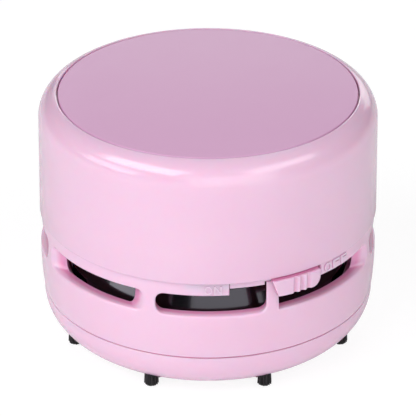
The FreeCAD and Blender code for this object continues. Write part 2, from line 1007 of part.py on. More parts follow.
def make_battery_holder():
    body = new_body("battery_holder")
    side_reach = other_leg(holder_clip_radius, holder_half_width)
    end_reach = other_leg(holder_clip_radius, holder_half_length)
    width, length, clip = holder_half_width, holder_half_length, holder_clip_radius
    pad(body, deck_z, size.cell_axis_height, lambda sketch: outline(sketch, [
        (-end_reach, -length),
        (end_reach, -length, clip),
        (width, -side_reach),
        (width, side_reach, clip),
        (end_reach, length),
        (-end_reach, length, clip),
        (-width, side_reach),
        (-width, -side_reach, clip),
    ]))
    end_half_width = holder_end_half_width
    end_wall = pad(body, cell_axis_z, size.holder_end_rise, lambda sketch: outline(
        sketch,
        rectangle_points(-end_half_width, end_half_width, length - size.holder_end_wall, length),
    ))
    pattern(body, [end_wall], PAIR)
    ear = pad(body, deck_z, size.ear_thickness, lambda sketch: outline(
        sketch,
        rectangle_points(-size.ear_half_width, size.ear_half_width, length, length + size.ear_length),
    ))
    pattern(body, [ear], PAIR)
    ear_hole = pocket(
        body,
        deck_z + size.ear_thickness,
        size.ear_thickness,
        lambda sketch: circle(sketch, size.screw_clear_radius, ZERO, screw_ring),
    )
    pattern(body, [ear_hole], PAIR)
    trough_sketch = new_sketch(body, "XZ_Plane")
    trough_radius = size.cell_radius + size.cell_play
    for spread in (cell_spread, -cell_spread):
        circle(trough_sketch, trough_radius, spread, cell_axis_z)
    trough = body.newObject("PartDesign::Pocket", "trough")
    trough.Profile = trough_sketch
    trough.Midplane = True
    bind(trough, "Length", (length - size.holder_end_wall) * 2)
    well_radius = size.motor_radius + size.motor_well_play
    well_flat = size.motor_half_flat + size.motor_well_play
    pocket(
        body,
        cell_axis_z,
        size.cell_axis_height,
        lambda sketch: outline(sketch, flat_sided_points(well_radius, well_flat)),
    )
    cut_sector(
        body,
        deck_z + size.relief_height,
        size.relief_height,
        relief_radius,
        holder_clip_radius + size.overrun,
        size.relief_start_angle,
        size.relief_end_angle,
    )
    return body


def make_cell(label, side):
    """One cell, nub towards the front on the left side and towards the back on the right side."""
    body = new_body(label)
    x = cell_spread * side
    nub_face = contact_face - size.cell_nub_length
    if side < 0:
        can_start, nub_start = nub_face - size.cell_length, nub_face
    else:
        can_start, nub_start = -nub_face, -contact_face
    cylinder(body, size.cell_radius, size.cell_length, (x, cell_axis_z, can_start), "XZ_Plane")
    cylinder(body, size.cell_nub_radius, size.cell_nub_length, (x, cell_axis_z, nub_start), "XZ_Plane")
    return body


def make_contact_springs():
    body = new_body("contact_springs")
    cone(
        body,
        size.spring_wide_radius,
        size.spring_narrow_radius,
        size.spring_length,
        (-cell_spread, cell_axis_z, -contact_face),
        "XZ_Plane",
    )
    cone(
        body,
        size.spring_narrow_radius,
        size.spring_wide_radius,
        size.spring_length,
        (cell_spread, cell_axis_z, contact_face - size.spring_length),
        "XZ_Plane",
    )
    return body


def make_contact_plates():
    body = new_body("contact_plates")
    for side in (-1, 1):
        x = cell_spread * side
        for start in (-bay_end, contact_face):
            cylinder(
                body,
                size.contact_radius,
                size.contact_thickness,
                (x, cell_axis_z, start),
                "XZ_Plane",
            )
        box(
            body,
            (x - size.lug_half_width, -bay_end, cell_axis_z),
            (x + size.lug_half_width, -contact_face, cell_axis_z + size.lug_top),
        )
    bridge_low = cell_axis_z + size.bridge_rise
    box(
        body,
        (-cell_spread, contact_face, bridge_low),
        (cell_spread, bay_end, bridge_low + size.bridge_height),
    )
    return body


slide_z = channel_z + size.slide_play
slide_thickness = size.channel_depth - size.slide_play * 2
slide_outer = channel_outer_radius - size.slip_gap
tab_inner = slide_inner_radius + size.clip_thickness
tab_outer = tab_inner + size.tab_thickness


def make_switch_slider():
    body = new_body("switch_slider")
    slide_top_z = slide_z + slide_thickness
    raise_sector(
        body,
        slide_z,
        slide_thickness,
        slide_inner_radius,
        slide_outer,
        size.slide_angle_start,
        size.slide_angle_end,
    )
    raise_sector(
        body,
        slide_z,
        slide_thickness,
        slide_outer - size.slip_gap,
        knob_inner_radius + size.slip_gap,
        size.neck_start_angle,
        size.neck_end_angle,
    )
    knob_z = slide_top_z - size.knob_height
    raise_sector(
        body,
        knob_z,
        size.knob_height,
        knob_inner_radius,
        knob_outer_radius,
        size.knob_start_angle,
        size.knob_end_angle,
    )
    for index in range(SIZES["rib_count"]):
        start = size.rib_first_angle + size.rib_pitch_angle * index
        raise_sector(
            body,
            knob_z,
            size.knob_height,
            knob_outer_radius - size.rib_depth,
            knob_outer_radius + size.rib_depth,
            start,
            start + size.rib_width_angle,
        )
    raise_sector(
        body,
        slide_top_z,
        size.tab_height,
        tab_inner,
        tab_outer,
        size.tab_start_angle,
        size.tab_end_angle,
    )
    return body


def make_bridge_clip():
    """A sprung copper clip over the slider's tab, with a leaf on each side of it."""
    body = new_body("bridge_clip")
    start = size.tab_start_angle + size.clip_margin_angle
    end = size.tab_end_angle - size.clip_margin_angle
    tab_top_z = slide_z + slide_thickness + size.tab_height
    leaf_z = tab_top_z - size.clip_leaf_height
    leaf_height = size.clip_leaf_height + size.clip_thickness
    outer = tab_outer + size.clip_thickness
    raise_sector(body, leaf_z, leaf_height, slide_inner_radius, tab_inner, start, end)
    raise_sector(body, leaf_z, leaf_height, tab_outer, outer, start, end)
    raise_sector(body, tab_top_z, size.clip_thickness, slide_inner_radius, outer, start, end)
    return body


def make_switch_blades():
    """The two fixed contacts: a long one inside the clip's path and a short one outside it, at ON."""
    body = new_body("switch_blades")
    long_outer = slide_inner_radius - size.blade_gap
    raise_sector(
        body,
        deck_z,
        size.blade_height,
        long_outer - size.blade_thickness,
        long_outer,
        size.long_blade_start,
        size.long_blade_end,
    )
    raise_sector(
        body,
        deck_z,
        size.blade_height,
        body_spigot_inner - size.blade_thickness,
        body_spigot_inner,
        size.short_blade_start,
        size.short_blade_end,
    )
    return body


def make_chassis_screws():
    body = new_body("chassis_screws")
    ring = screw_ring
    pieces = []
    for x, y, seat_z in ((ring, ZERO, deck_z), (ZERO, ring, deck_z + size.ear_thickness)):
        shank_z = seat_z - size.screw_length
        pieces.append(cylinder(body, size.screw_shank_radius, size.screw_length, (x, y, shank_z)))
        pieces.append(cylinder(body, size.screw_head_radius, size.screw_head_height, (x, y, seat_z)))
    pattern(body, pieces, PAIR)
    return body


def make_lead(label, points):
    """A round lead through the points, its bends as large as the runs beside them allow."""
    path = []
    last = points[0]
    for before, corner, after in zip(points, points[1:], points[2:]):
        run_in, run_out = before - corner, after - corner
        tangent = min(run_in.Length, run_out.Length) * BEND_SHARE
        half_turn = (math.pi - run_in.getAngle(run_out)) / 2
        radius = tangent / math.tan(half_turn)
        bend_start = corner + FreeCAD.Vector(run_in).normalize() * tangent
        bend_end = corner + FreeCAD.Vector(run_out).normalize() * tangent
        to_centre = (FreeCAD.Vector(run_in).normalize() + FreeCAD.Vector(run_out).normalize()).normalize()
        bend_middle = corner + to_centre * (radius / math.cos(half_turn) - radius)
        path.append(Part.LineSegment(last, bend_start).toShape())
        path.append(Part.Arc(bend_start, bend_middle, bend_end).toShape())
        last = bend_end
        print(label, "bend radius", round(radius, 1))
    path.append(Part.LineSegment(last, points[-1]).toShape())
    spine = Part.Wire(path)
    radius = size.lead_radius.value
    section = Part.Wire([Part.makeCircle(radius, points[0], points[1] - points[0])])
    lead = document.addObject("Part::Feature", label)
    lead.Label = label
    lead.Shape = spine.makePipeShell([section], True, False)
    swept = math.pi * radius ** 2 * spine.Length
    print(label, "volume over section times length", lead.Shape.Volume / swept)
    return lead


def point(x, y, z):
    return FreeCAD.Vector(x.value, y.value, z.value)


def make_leads():
    """One runs from a cell to the motor, one from the other cell to the switch, one from there to the motor."""
    lug_z = cell_axis_z + size.cell_radius + size.lead_clear
    terminal_z = end_cap_top_z + size.terminal_height - size.lead_clear
    terminal_face = size.terminal_spread + size.terminal_thickness / 2
    beside_motor = size.motor_radius + size.motor_well_play
    front_y = -relief_radius
    blade_top_z = deck_z + size.blade_height
    middle_z = (lug_z + terminal_z) / 2
    cell_to_motor = [
        point(-cell_spread, -contact_face, lug_z),
        point(-cell_spread, -contact_face + size.cell_radius, lug_z),
        point(-(cell_spread + beside_motor) / 2, -beside_motor, middle_z),
        point(-beside_motor, ZERO, terminal_z),
        point(-terminal_face, ZERO, terminal_z),
    ]
    blade_radius = slide_inner_radius - size.blade_gap - size.blade_thickness / 2
    drop_x, drop_y = polar(blade_radius, size.lead_drop_angle)
    cell_to_blade = [
        point(cell_spread, -bay_end, lug_z),
        point(cell_spread, front_y, lug_z),
        point((cell_spread + drop_x) / 2, front_y, cell_axis_z),
        point(drop_x, drop_y, cell_axis_z - size.lead_clear),
        point(drop_x, drop_y, blade_top_z),
    ]
    rise_x, rise_y = polar(body_spigot_inner - size.lead_radius - size.push_fit_gap, size.lead_rise_angle)
    blade_to_motor = [
        point(rise_x, rise_y, blade_top_z),
        point(rise_x, rise_y, cell_axis_z + size.cell_nub_radius),
        point(rise_x, -holder_half_length, lug_z + size.lead_clear),
        point(beside_motor, -beside_motor, terminal_z),
        point(beside_motor, ZERO, terminal_z),
        point(terminal_face, ZERO, terminal_z),
    ]
    return [
        make_lead("lead_cell_to_motor", cell_to_motor),
        make_lead("lead_cell_to_switch", cell_to_blade),
        make_lead("lead_switch_to_motor", blade_to_motor),
    ]


def make_upper_housing():
    body = new_body("upper_housing")
    shoulder_outer = size.housing_radius - size.housing_draft
    shoulder_inner = shoulder_outer - size.shoulder_run
    recess_radius = shoulder_inner - size.recess_lip
    inner_shoulder = shoulder_outer - size.housing_wall
    revolve(body, [
        (ZERO, roof_under_z),
        (inner_shoulder - size.roof_corner_run, roof_under_z),
        (inner_shoulder, roof_under_z - size.roof_corner_drop),
        (housing_inner, deck_z),
        (size.housing_radius - size.housing_edge, deck_z),
        (size.housing_radius, deck_z + size.housing_edge),
        (shoulder_outer, top_z - size.shoulder_drop, size.shoulder_radius),
        (shoulder_inner, top_z),
        (recess_radius, top_z),
        (recess_radius, plate_z),
        (ZERO, plate_z),
    ])
    return body


def make_top_plate():
    body = new_body("top_plate")
    recess_radius = (
        size.housing_radius - size.housing_draft - size.shoulder_run - size.recess_lip
    )
    radius = recess_radius - size.plate_gap
    revolve(body, [
        (ZERO, plate_z),
        (radius, plate_z),
        (radius, top_z - size.plate_edge_radius, size.plate_edge_radius),
        (radius - size.plate_edge_radius, top_z),
        (ZERO, top_z),
    ])
    return body


def make_pieces():
    return [
        make_dust_tray(),
        make_tufts("outer_tufts", outer_tuft_ring, ZERO),
        make_tufts("inner_tufts", inner_tuft_ring, size.inner_tuft_lift),
        make_lower_body(),
        make_seal_ring(),
        make_fan_housing(),
        make_inlet_plate(),
        make_filter_frame(),
        make_filter_mesh(),
        make_impeller(),
        make_motor_shaft(),
        make_armature_core(),
        make_commutator(),
        make_motor_can(),
        make_motor_magnets(),
        make_motor_end_cap(),
        make_motor_bushings(),
        make_motor_terminals(),
        make_battery_holder(),
        make_cell("battery_cell_left", -1),
        make_cell("battery_cell_right", 1),
        make_contact_springs(),
        make_contact_plates(),
        make_switch_slider(),
        make_bridge_clip(),
        make_switch_blades(),
        make_chassis_screws(),
        *make_leads(),
        make_upper_housing(),
        make_top_plate(),
    ]


def check(pieces):
    """Stop if a feature failed, a cut took nothing away or a piece isn't a sound solid."""
    cutters = ("PartDesign::Pocket", "PartDesign::SubtractiveLoft")
    for item in document.Objects:
        if "Invalid" in item.State or "Error" in item.State:
            raise RuntimeError(f"{item.Name} failed")
        if item.TypeId in cutters and item.Shape.Volume >= item.BaseFeature.Shape.Volume:
            raise RuntimeError(f"{item.Name} cuts nothing")
    for piece in pieces:
        if piece.Shape.isNull() or not piece.Shape.isValid() or not piece.Shape.Solids:
            raise RuntimeError(f"{piece.Label} is not a sound solid")


def export(pieces):
    os.makedirs("parts", exist_ok=True)
    for piece in pieces:
        piece.Shape.exportStep(f"parts/{piece.Label}.step")
        print(piece.Label, len(piece.Shape.Solids), round(piece.Shape.Volume))


pieces = make_pieces()
document.recompute()
check(pieces)
export(pieces)
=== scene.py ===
import bmesh
import bpy
import json
import math
import random
from mathutils import Matrix, Vector


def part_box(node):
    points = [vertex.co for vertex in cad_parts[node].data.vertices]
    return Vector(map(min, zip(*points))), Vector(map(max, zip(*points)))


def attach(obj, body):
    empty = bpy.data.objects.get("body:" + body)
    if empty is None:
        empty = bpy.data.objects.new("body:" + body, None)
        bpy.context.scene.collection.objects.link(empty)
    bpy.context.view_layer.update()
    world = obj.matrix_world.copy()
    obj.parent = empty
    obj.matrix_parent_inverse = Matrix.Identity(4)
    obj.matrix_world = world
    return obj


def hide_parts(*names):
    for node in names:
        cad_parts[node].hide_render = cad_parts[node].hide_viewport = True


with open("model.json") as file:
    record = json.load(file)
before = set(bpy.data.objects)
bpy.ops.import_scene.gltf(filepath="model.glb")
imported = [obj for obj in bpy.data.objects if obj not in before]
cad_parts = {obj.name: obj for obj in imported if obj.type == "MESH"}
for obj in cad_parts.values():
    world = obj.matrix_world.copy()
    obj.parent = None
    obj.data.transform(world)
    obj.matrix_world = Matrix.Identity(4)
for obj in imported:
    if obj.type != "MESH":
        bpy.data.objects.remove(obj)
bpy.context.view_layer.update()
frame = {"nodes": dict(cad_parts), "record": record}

# Desktop mini vacuum cleaner, +Z up, front towards -Y, metres. Angles round the upright axis count from the
# front towards the right, in degrees.
MM = 0.001
ROUND_SIDES = 288
WELD = 0.00001


def millimetres(*values):
    return tuple(value * MM for value in values)


def srgb(red, green, blue):
    """A colour as a picture's 0 to 255 numbers, turned into linear light."""
    linear = []
    for value in (red, green, blue):
        share = value / 255
        linear.append(share / 12.92 if value < 11 else ((share + 0.055) / 1.055) ** 2.4)
    return (*linear, 1.0)


# Heights and radii read from the frame
tray_low, tray_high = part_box("dust_tray")
body_low, body_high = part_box("lower_body")
housing_low, housing_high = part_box("upper_housing")
disc_low, disc_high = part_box("top_plate")
drum_low, drum_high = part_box("fan_housing")
slider_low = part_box("switch_slider")[0]
TRAY_Z = tray_low.z
SEAM_Z = body_low.z
DECK_Z = housing_low.z
TOP_Z = housing_high.z
HOUSING_R = housing_high.x
DISC_R = disc_high.x
DRUM_R = drum_high.x

# Sizes of the lower body
BODY_SEAM_R = 41.5 * MM
BODY_BAND_R = 41.15 * MM
BODY_BULGE_R = 79.0 * MM
BODY_INNER_R = 39.2 * MM
DECK_UNDER_Z = DECK_Z - 1.8 * MM
CHANNEL_Z = DECK_Z - 1.0 * MM
SEAM_GROOVE = 0.42 * MM
TRAY_EDGE = 0.08 * MM
WINDOW_LOW = SEAM_Z + 11.9 * MM
WINDOW_HIGH = WINDOW_LOW + 5.35 * MM
WINDOW_CORNER = 2.0 * MM
WINDOW_FIRST = 1.0
WINDOW_HALF = 13.15 * MM
FLARE_OUTER_HALF = 16.1 * MM
# How far a flared window's side comes in for each step into the wall, and the depth at which it ends
FLARE = 1.55
FLARE_DEPTH = 2.8 * MM
MOUTH_ROUND = 0.5 * MM
# The angle at which a mouth's rounding starts on the wall, and its steps from there until it runs straight in
MOUTH_START = 22
MOUTH_STEPS = 5
CORNER_STEPS = 8
FLARE_STEPS = 4
WALL_CUTS = 15
# How far a cutter's first ring stands off the wall, how far it reaches beyond, and at which radius it ends
CUT_CLEAR = 0.3 * MM
CUT_BEYOND = 3 * MM
CUT_INNER_R = 36.0 * MM
NOTCH_START = 7.0
PILLAR_END = 24.0
NOTCH_END = 40.7
NOTCH_CORNER = 0.3 * MM
STRIP_LOW = 31.1 * MM
LETTER_LOW = 29.9 * MM
LETTER_HEIGHT = 2.2 * MM
LETTER_RISE = 0.34 * MM
# How far the wall goes out for each step down beside the letters
LETTER_LEAN = 0.06


# Modelling

def deselect_all():
    if bpy.context.object and bpy.context.object.mode != "OBJECT":
        bpy.ops.object.mode_set(mode="OBJECT")
    bpy.ops.object.select_all(action="DESELECT")
    bpy.context.tool_settings.mesh_select_mode = (True, False, False)


def pick(piece):
    deselect_all()
    piece.select_set(True)
    bpy.context.view_layer.objects.active = piece


def settle(piece, name):
    """Put a piece's place, turn and scale into its mesh, and name it."""
    pick(piece)
    bpy.ops.object.transform_apply(location=True, rotation=True, scale=True)
    piece.name = name
    piece.data.name = name
    return piece


def close_mesh(piece):
    pick(piece)
    bpy.ops.object.mode_set(mode="EDIT")
    bpy.ops.mesh.select_all(action="SELECT")
    bpy.ops.mesh.remove_doubles(threshold=WELD)
    bpy.ops.mesh.normals_make_consistent(inside=False)
    bpy.ops.object.mode_set(mode="OBJECT")


def arc(start, end, radius, steps):
    """Stations after start along a circular arc to end, bulging away from the axis."""
    chord = Vector((end[0] - start[0], end[1] - start[1]))
    reach = math.sqrt(max(radius ** 2 - (chord.length / 2) ** 2, 0))
    across = Vector((chord.y, -chord.x)).normalized()
    if across.x < 0:
        across = -across
    centre = Vector(start) + chord / 2 - across * reach
    first = math.atan2(start[1] - centre.y, start[0] - centre.x)
    last = math.atan2(end[1] - centre.y, end[0] - centre.x)
    turn = (last - first + math.pi) % (2 * math.pi) - math.pi
    angles = [first + turn * (index + 1) / steps for index in range(steps)]
    return [(centre.x + radius * math.cos(angle), centre.y + radius * math.sin(angle)) for angle in angles]


def turned(name, profile, solid=False, sides=ROUND_SIDES):
    """Turn a profile of (radius, height) stations: a circle is extruded and resized from one to the next. A
    solid one has flat ends, and any other closes on itself at its first station."""
    deselect_all()
    radius, height = profile[0]
    bpy.ops.mesh.primitive_circle_add(
        vertices=sides,
        radius=radius,
        location=(0, 0, height),
        fill_type="NGON" if solid else "NOTHING",
    )
    piece = bpy.context.object
    bpy.ops.object.mode_set(mode="EDIT")
    for next_radius, next_height in profile[1:]:
        bpy.ops.mesh.extrude_region_move(TRANSFORM_OT_translate={"value": (0, 0, next_height - height)})
        share = next_radius / radius
        bpy.ops.transform.resize(value=(share, share, 1), center_override=(0, 0, next_height))
        radius, height = next_radius, next_height
    bpy.ops.object.mode_set(mode="OBJECT")
    settle(piece, name)
    close_mesh(piece)
    return piece


def sector(name, inner, outer, low, high, start, end, steps):
    """A block between two radii and two angles: a rectangle spun round the upright axis."""
    deselect_all()
    bpy.ops.mesh.primitive_plane_add(size=1, rotation=(math.pi / 2, 0, 0))
    piece = bpy.context.object
    piece.scale = (outer - inner, high - low, 1)
    piece.location = ((inner + outer) / 2, 0, (low + high) / 2)
    settle(piece, name)
    bpy.ops.object.mode_set(mode="EDIT")
    bpy.ops.mesh.select_all(action="SELECT")
    bpy.ops.mesh.spin(steps=steps, angle=math.radians(end - start), center=(0, 0, 0), axis=(0, 0, 1))
    bpy.ops.object.mode_set(mode="OBJECT")
    reach = max(piece.data.vertices, key=lambda vertex: abs(vertex.co.y)).co
    first = start if reach.y > 0 else end
    piece.rotation_euler.z = math.radians(first - 90)
    settle(piece, name)
    close_mesh(piece)
    return piece


def apply_modifier(piece, modifier):
    pick(piece)
    bpy.ops.object.modifier_apply(modifier=modifier.name)


def cut(piece, other):
    """Cut the other mesh from the piece."""
    modifier = piece.modifiers.new("cut", "BOOLEAN")
    modifier.operation = "DIFFERENCE"
    modifier.solver = "MANIFOLD"
    modifier.object = other
    apply_modifier(piece, modifier)
    bpy.data.objects.remove(other)


def join(pieces, name):
    pick(pieces[0])
    for piece in pieces:
        piece.select_set(True)
    bpy.ops.object.join()
    return settle(bpy.context.object, name)


def smooth(piece, angle=40):
    pick(piece)
    bpy.ops.object.shade_smooth_by_angle(angle=math.radians(angle))


def soften(piece, width, segments=3, angle=35):
    """Round every edge sharper than the angle, and shade it smooth."""
    modifier = piece.modifiers.new("rounding", "BEVEL")
    modifier.width = width
    modifier.segments = segments
    modifier.limit_method = "ANGLE"
    modifier.angle_limit = math.radians(angle)
    apply_modifier(piece, modifier)
    smooth(piece)
    weight = piece.modifiers.new("normals", "WEIGHTED_NORMAL")
    weight.keep_sharp = True
    apply_modifier(piece, weight)


def finish_piece(piece, material, slot, body, *nodes):
    piece.data.materials.clear()
    piece.data.materials.append(material)
    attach(piece, body)
    if nodes:
        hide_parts(*nodes)


# Materials

# Noise scales with which a surface's tone and gloss drift, how far they drift, and how deep its relief is
DRIFT_SCALE = 28
DRIFT_SHARE = 0.35
GLOSS_SCALE = 160
GLOSS_SPREAD = 0.08
SKIN_DEPTH = 0.00002
COAT_ROUGHNESS = 0.06

PINK = srgb(243, 203, 228)
PINK_DEEP = srgb(239, 192, 221)
PINK_LIGHT = srgb(245, 206, 230)
PINK_ROUGHNESS = 0.2
PINK_COAT = 0.35
# Noise scale and strength of the pink plastic's skin
PINK_GRAIN = (700, 0.12)
THUMB_ROUGHNESS = 0.22
# The thumb piece's painted shade deepens between these radii
THUMB_SHADE_START = 41.2 * MM
THUMB_SHADE_END = 43.2 * MM
# How quickly these painted shades change, per metre
RECESS_SHADE_FADE = 900.0
SEAM_SHADE_FADE = 5000.0
THUMB_SHADE_FADE = 1000.0
THUMB_SHADE_INNER_FADE = 2000.0
# Light passes some way into the pink plastic
GLOW = {"Subsurface Weight": 0.45, "Subsurface Radius": (1.0, 0.3, 0.45), "Subsurface Scale": 2.5 * MM}
# The drum mirrors slightly more blue than green
DRUM_TINT = {"Specular Tint": (0.86, 0.8, 1.0, 1)}


class Wire:
    """A shader value, on which sums and products add Math nodes."""

    def __init__(self, finish, socket):
        self.finish = finish
        self.socket = socket

    def __add__(self, other):
        return self.finish.maths("ADD", self, other)

    def __sub__(self, other):
        return self.finish.maths("SUBTRACT", self, other)

    def __rsub__(self, other):
        return self.finish.maths("SUBTRACT", other, self)

    def __mul__(self, other):
        return self.finish.maths("MULTIPLY", self, other)

    __radd__ = __add__
    __rmul__ = __mul__


class Finish:
    """One material with its shader."""

    def __init__(self, name, colour, roughness, constants=None):
        self.material = bpy.data.materials.new(name)
        self.material.use_nodes = True
        self.nodes = self.material.node_tree.nodes
        self.links = self.material.node_tree.links
        self.nodes.clear()
        sockets = {"Base Color": colour, "Roughness": roughness, **(constants or {})}
        surface = self.node("BsdfPrincipled", {}, sockets)
        self.shader = surface.socket.node
        self.node("OutputMaterial", {}, {"Surface": surface}, None)
        self.place = self.node("TexCoord", {}, {}, "Object")

    def node(self, kind, settings, sockets, result=0):
        """Add a node, set what it is, then what goes into it, and return what comes out of it."""
        made = self.nodes.new("ShaderNode" + kind)
        for name, value in settings.items():
            if name == "stops":
                self.set_stops(made.color_ramp.elements, value)
            else:
                setattr(made, name, value)
        for name, value in sockets.items():
            socket = next(s for s in made.inputs if name in (s.identifier, s.name))
            if isinstance(value, Wire):
                self.links.new(value.socket, socket)
            else:
                socket.default_value = value
        return None if result is None else Wire(self, made.outputs[result])

    def set_stops(self, elements, stops):
        while len(elements) < len(stops):
            elements.new(1)
        for element, (position, value) in zip(elements, stops):
            element.position = position
            element.color = (value, value, value, 1) if isinstance(value, (int, float)) else value

    def maths(self, operation, first, second):
        return self.node("Math", {"operation": operation}, {"Value": first, "Value_001": second})

    def noise(self, scale, detail=2.0, place=None):
        sockets = {"Vector": place or self.place, "Scale": scale, "Detail": detail}
        return self.node("TexNoise", {}, sockets)

    def ramp(self, value, stops):
        return self.node("ValToRGB", {"stops": stops}, {"Fac": value})

    def mix(self, share, first, second):
        sockets = {"Factor_Float": share, "A_Color": first, "B_Color": second}
        return self.node("Mix", {"data_type": "RGBA"}, sockets, 2)

    def feed(self, name, value):
        self.links.new(value.socket, self.shader.inputs[name])

    def bump(self, height, strength, distance):
        sockets = {"Height": height, "Strength": strength, "Distance": distance}
        self.feed("Normal", self.node("Bump", {}, sockets))

    def axis(self, name):
        return self.node("SeparateXYZ", {}, {"Vector": self.place}, name)

    def across(self):
        """The distance from the object's upright axis."""
        x, y = self.axis("X"), self.axis("Y")
        return self.maths("SQRT", x * x + y * y, 0.0)

    def drift(self, colour, deep):
        """A slow change of tone from the colour towards the deep one."""
        share = self.ramp(self.noise(DRIFT_SCALE), [(0.35, 0.0), (0.7, 1.0)])
        return self.mix(share * DRIFT_SHARE, colour, deep)

    def gloss(self, roughness):
        """A gloss that is slightly uneven."""
        self.feed("Roughness", self.noise(GLOSS_SCALE, 3) * GLOSS_SPREAD + (roughness - GLOSS_SPREAD / 2))

    def skin(self, scale, strength):
        """The faint relief of the mould."""
        self.bump(self.noise(scale, 3), strength, SKIN_DEPTH)


def moulded(name, colour, deep, roughness, coat, grain_scale, grain, extra=None):
    """Moulded plastic: a slow drift of tone, a slightly uneven gloss and the faint skin of the mould."""
    constants = {"Coat Weight": coat, "Coat Roughness": COAT_ROUGHNESS, "IOR": 1.5, **(extra or {})}
    finish = Finish(name, colour, roughness, constants)
    finish.feed("Base Color", finish.drift(colour, deep))
    finish.gloss(roughness)
    finish.skin(grain_scale, grain)
    return finish.material


def pink_plastic(name, roughness=PINK_ROUGHNESS, coat=PINK_COAT, coat_roughness=COAT_ROUGHNESS):
    """A start for the pieces whose pink carries painted shade that follows their shape."""
    return Finish(name, PINK, roughness, {"Coat Weight": coat, "Coat Roughness": coat_roughness, **GLOW})


def body_with_painted_shade():
    """The pink of the lower body with painted shade: a deeper pink is painted in the groove where it meets
    the tray, on the sills and in the windows' flares, for the shade there and the light that has crossed the
    wall."""
    finish = pink_plastic("pink_body_painted_shade")
    skin = finish.drift(PINK, PINK_DEEP)
    # Painted shade: a deeper pink on the sills and flares, inside the band's radius
    inside = finish.ramp((BODY_BAND_R - finish.across()) * RECESS_SHADE_FADE, [(0.1, 0.0), (0.9, 1.0)])
    walls_with_painted_shade = finish.mix(inside, skin, srgb(240, 158, 200))
    # Painted shade: a darker pink in the groove where the body meets the tray
    below = (SEAM_Z + SEAM_GROOVE - finish.axis("Z")) * SEAM_SHADE_FADE + 0.5
    seam_shade = finish.ramp(below, [(0.2, 0.0), (0.8, 1.0)])
    finish.feed("Base Color", finish.mix(seam_shade, walls_with_painted_shade, srgb(222, 120, 166)))
    finish.gloss(PINK_ROUGHNESS)
    finish.skin(*PINK_GRAIN)
    return finish.material


def mark_with_painted_shade():
    """The pink of the raised letters with painted shade: a deeper pink is painted down their sides, so that
    they read against the wall.
    """
    finish = pink_plastic("pink_mark_painted_shade")
    wall = (DECK_Z - finish.axis("Z")) * LETTER_LEAN + BODY_BAND_R
    # Painted shade: a letter is a deeper pink up its sides and light pink only near its face
    rise = finish.ramp((finish.across() - wall) * (1 / LETTER_RISE), [(0.7, 0.0), (0.95, 1.0)])
    finish.feed("Base Color", finish.mix(rise, srgb(230, 164, 200), PINK_LIGHT))
    finish.gloss(PINK_ROUGHNESS)
    return finish.material


def thumb_with_painted_shade():
    """The pink of the thumb piece with painted shade: a deeper pink is painted towards its back, where its
    top runs beneath the housing's edge, and faintly in its grooves.
    """
    finish = pink_plastic("pink_thumb_painted_shade", THUMB_ROUGHNESS, 0.3, 0.08)
    across = finish.across()
    # Painted shade: deeper towards the back of the thumb piece, beneath the housing's edge, and faintly in
    # the grooves
    within = (THUMB_SHADE_END - across) * THUMB_SHADE_FADE
    painted_edge_shade = finish.ramp(within, [(0.0, 0.0), (0.5, 0.35), (0.95, 1.0)])
    beyond = finish.ramp((across - THUMB_SHADE_START) * THUMB_SHADE_INNER_FADE, [(0.0, 0.0), (0.8, 1.0)])
    skin = finish.mix(finish.noise(40), PINK_LIGHT, srgb(242, 199, 226))
    finish.feed("Base Color", finish.mix(painted_edge_shade * beyond, skin, srgb(226, 128, 172)))
    finish.gloss(THUMB_ROUGHNESS)
    finish.skin(*PINK_GRAIN)
    return finish.material


pink_gloss = moulded("pink_gloss", PINK, PINK_DEEP, PINK_ROUGHNESS, PINK_COAT, *PINK_GRAIN, GLOW)
pink_body_painted_shade = body_with_painted_shade()
pink_mark_painted_shade = mark_with_painted_shade()
pink_thumb_painted_shade = thumb_with_painted_shade()
pink_satin = moulded("pink_satin", srgb(226, 175, 213), srgb(221, 169, 208), 0.42, 0.0, 3500, 0.35)
black_gloss = moulded("black_gloss", srgb(22, 22, 24), srgb(28, 27, 30), 0.16, 0.5, 600, 0.1, DRUM_TINT)
black_matte = moulded("black_matte", srgb(38, 38, 40), srgb(30, 30, 32), 0.55, 0.0, 2500, 0.5)
grey_plastic = moulded("grey_plastic", srgb(196, 196, 198), srgb(184, 184, 188), 0.45, 0.0, 2500, 0.4)
seal_rubber = moulded("seal_rubber", srgb(44, 44, 45), srgb(34, 34, 35), 0.75, 0.0, 4000, 0.6)
red_lead = moulded("red_lead", srgb(176, 30, 34), srgb(150, 22, 28), 0.4, 0.0, 2500, 0.2)
black_lead = moulded("black_lead", srgb(30, 30, 31), srgb(22, 22, 23), 0.4, 0.0, 2500, 0.2)

# Streaks run along the metal: this much finer across its height
STREAKS = (1, 1, 18)


def make_metal(name, colour, deep, roughness):
    """Drawn or rolled metal with fine streaks and a little tarnish."""
    finish = Finish(name, colour, roughness, {"Metallic": 1.0})
    tarnish = finish.ramp(finish.noise(260, 4), [(0.4, 0.0), (0.75, 1.0)])
    finish.feed("Base Color", finish.mix(tarnish * 0.5, colour, deep))
    stretched = finish.node("Mapping", {}, {"Vector": finish.place, "Scale": STREAKS})
    finish.feed("Roughness", finish.noise(500, 3, stretched) * 0.2 + (roughness - 0.1))
    finish.bump(finish.noise(900, 2, stretched), 0.15, 0.00001)
    return finish.material


steel = make_metal("steel", srgb(198, 198, 200), srgb(160, 160, 165), 0.3)
copper = make_metal("copper", srgb(214, 140, 96), srgb(170, 104, 70), 0.32)
magnet = moulded("magnet", srgb(58, 58, 60), srgb(46, 46, 48), 0.6, 0.0, 1800, 0.8)


def make_bristle():
    finish = Finish("bristle", srgb(20, 20, 22), 0.42)
    tone = finish.noise(1400, 2)
    finish.feed("Base Color", finish.mix(tone, srgb(14, 14, 15), srgb(34, 34, 37)))
    finish.feed("Roughness", tone * 0.2 + 0.34)
    return finish.material


THREAD_SCALE = 420.0


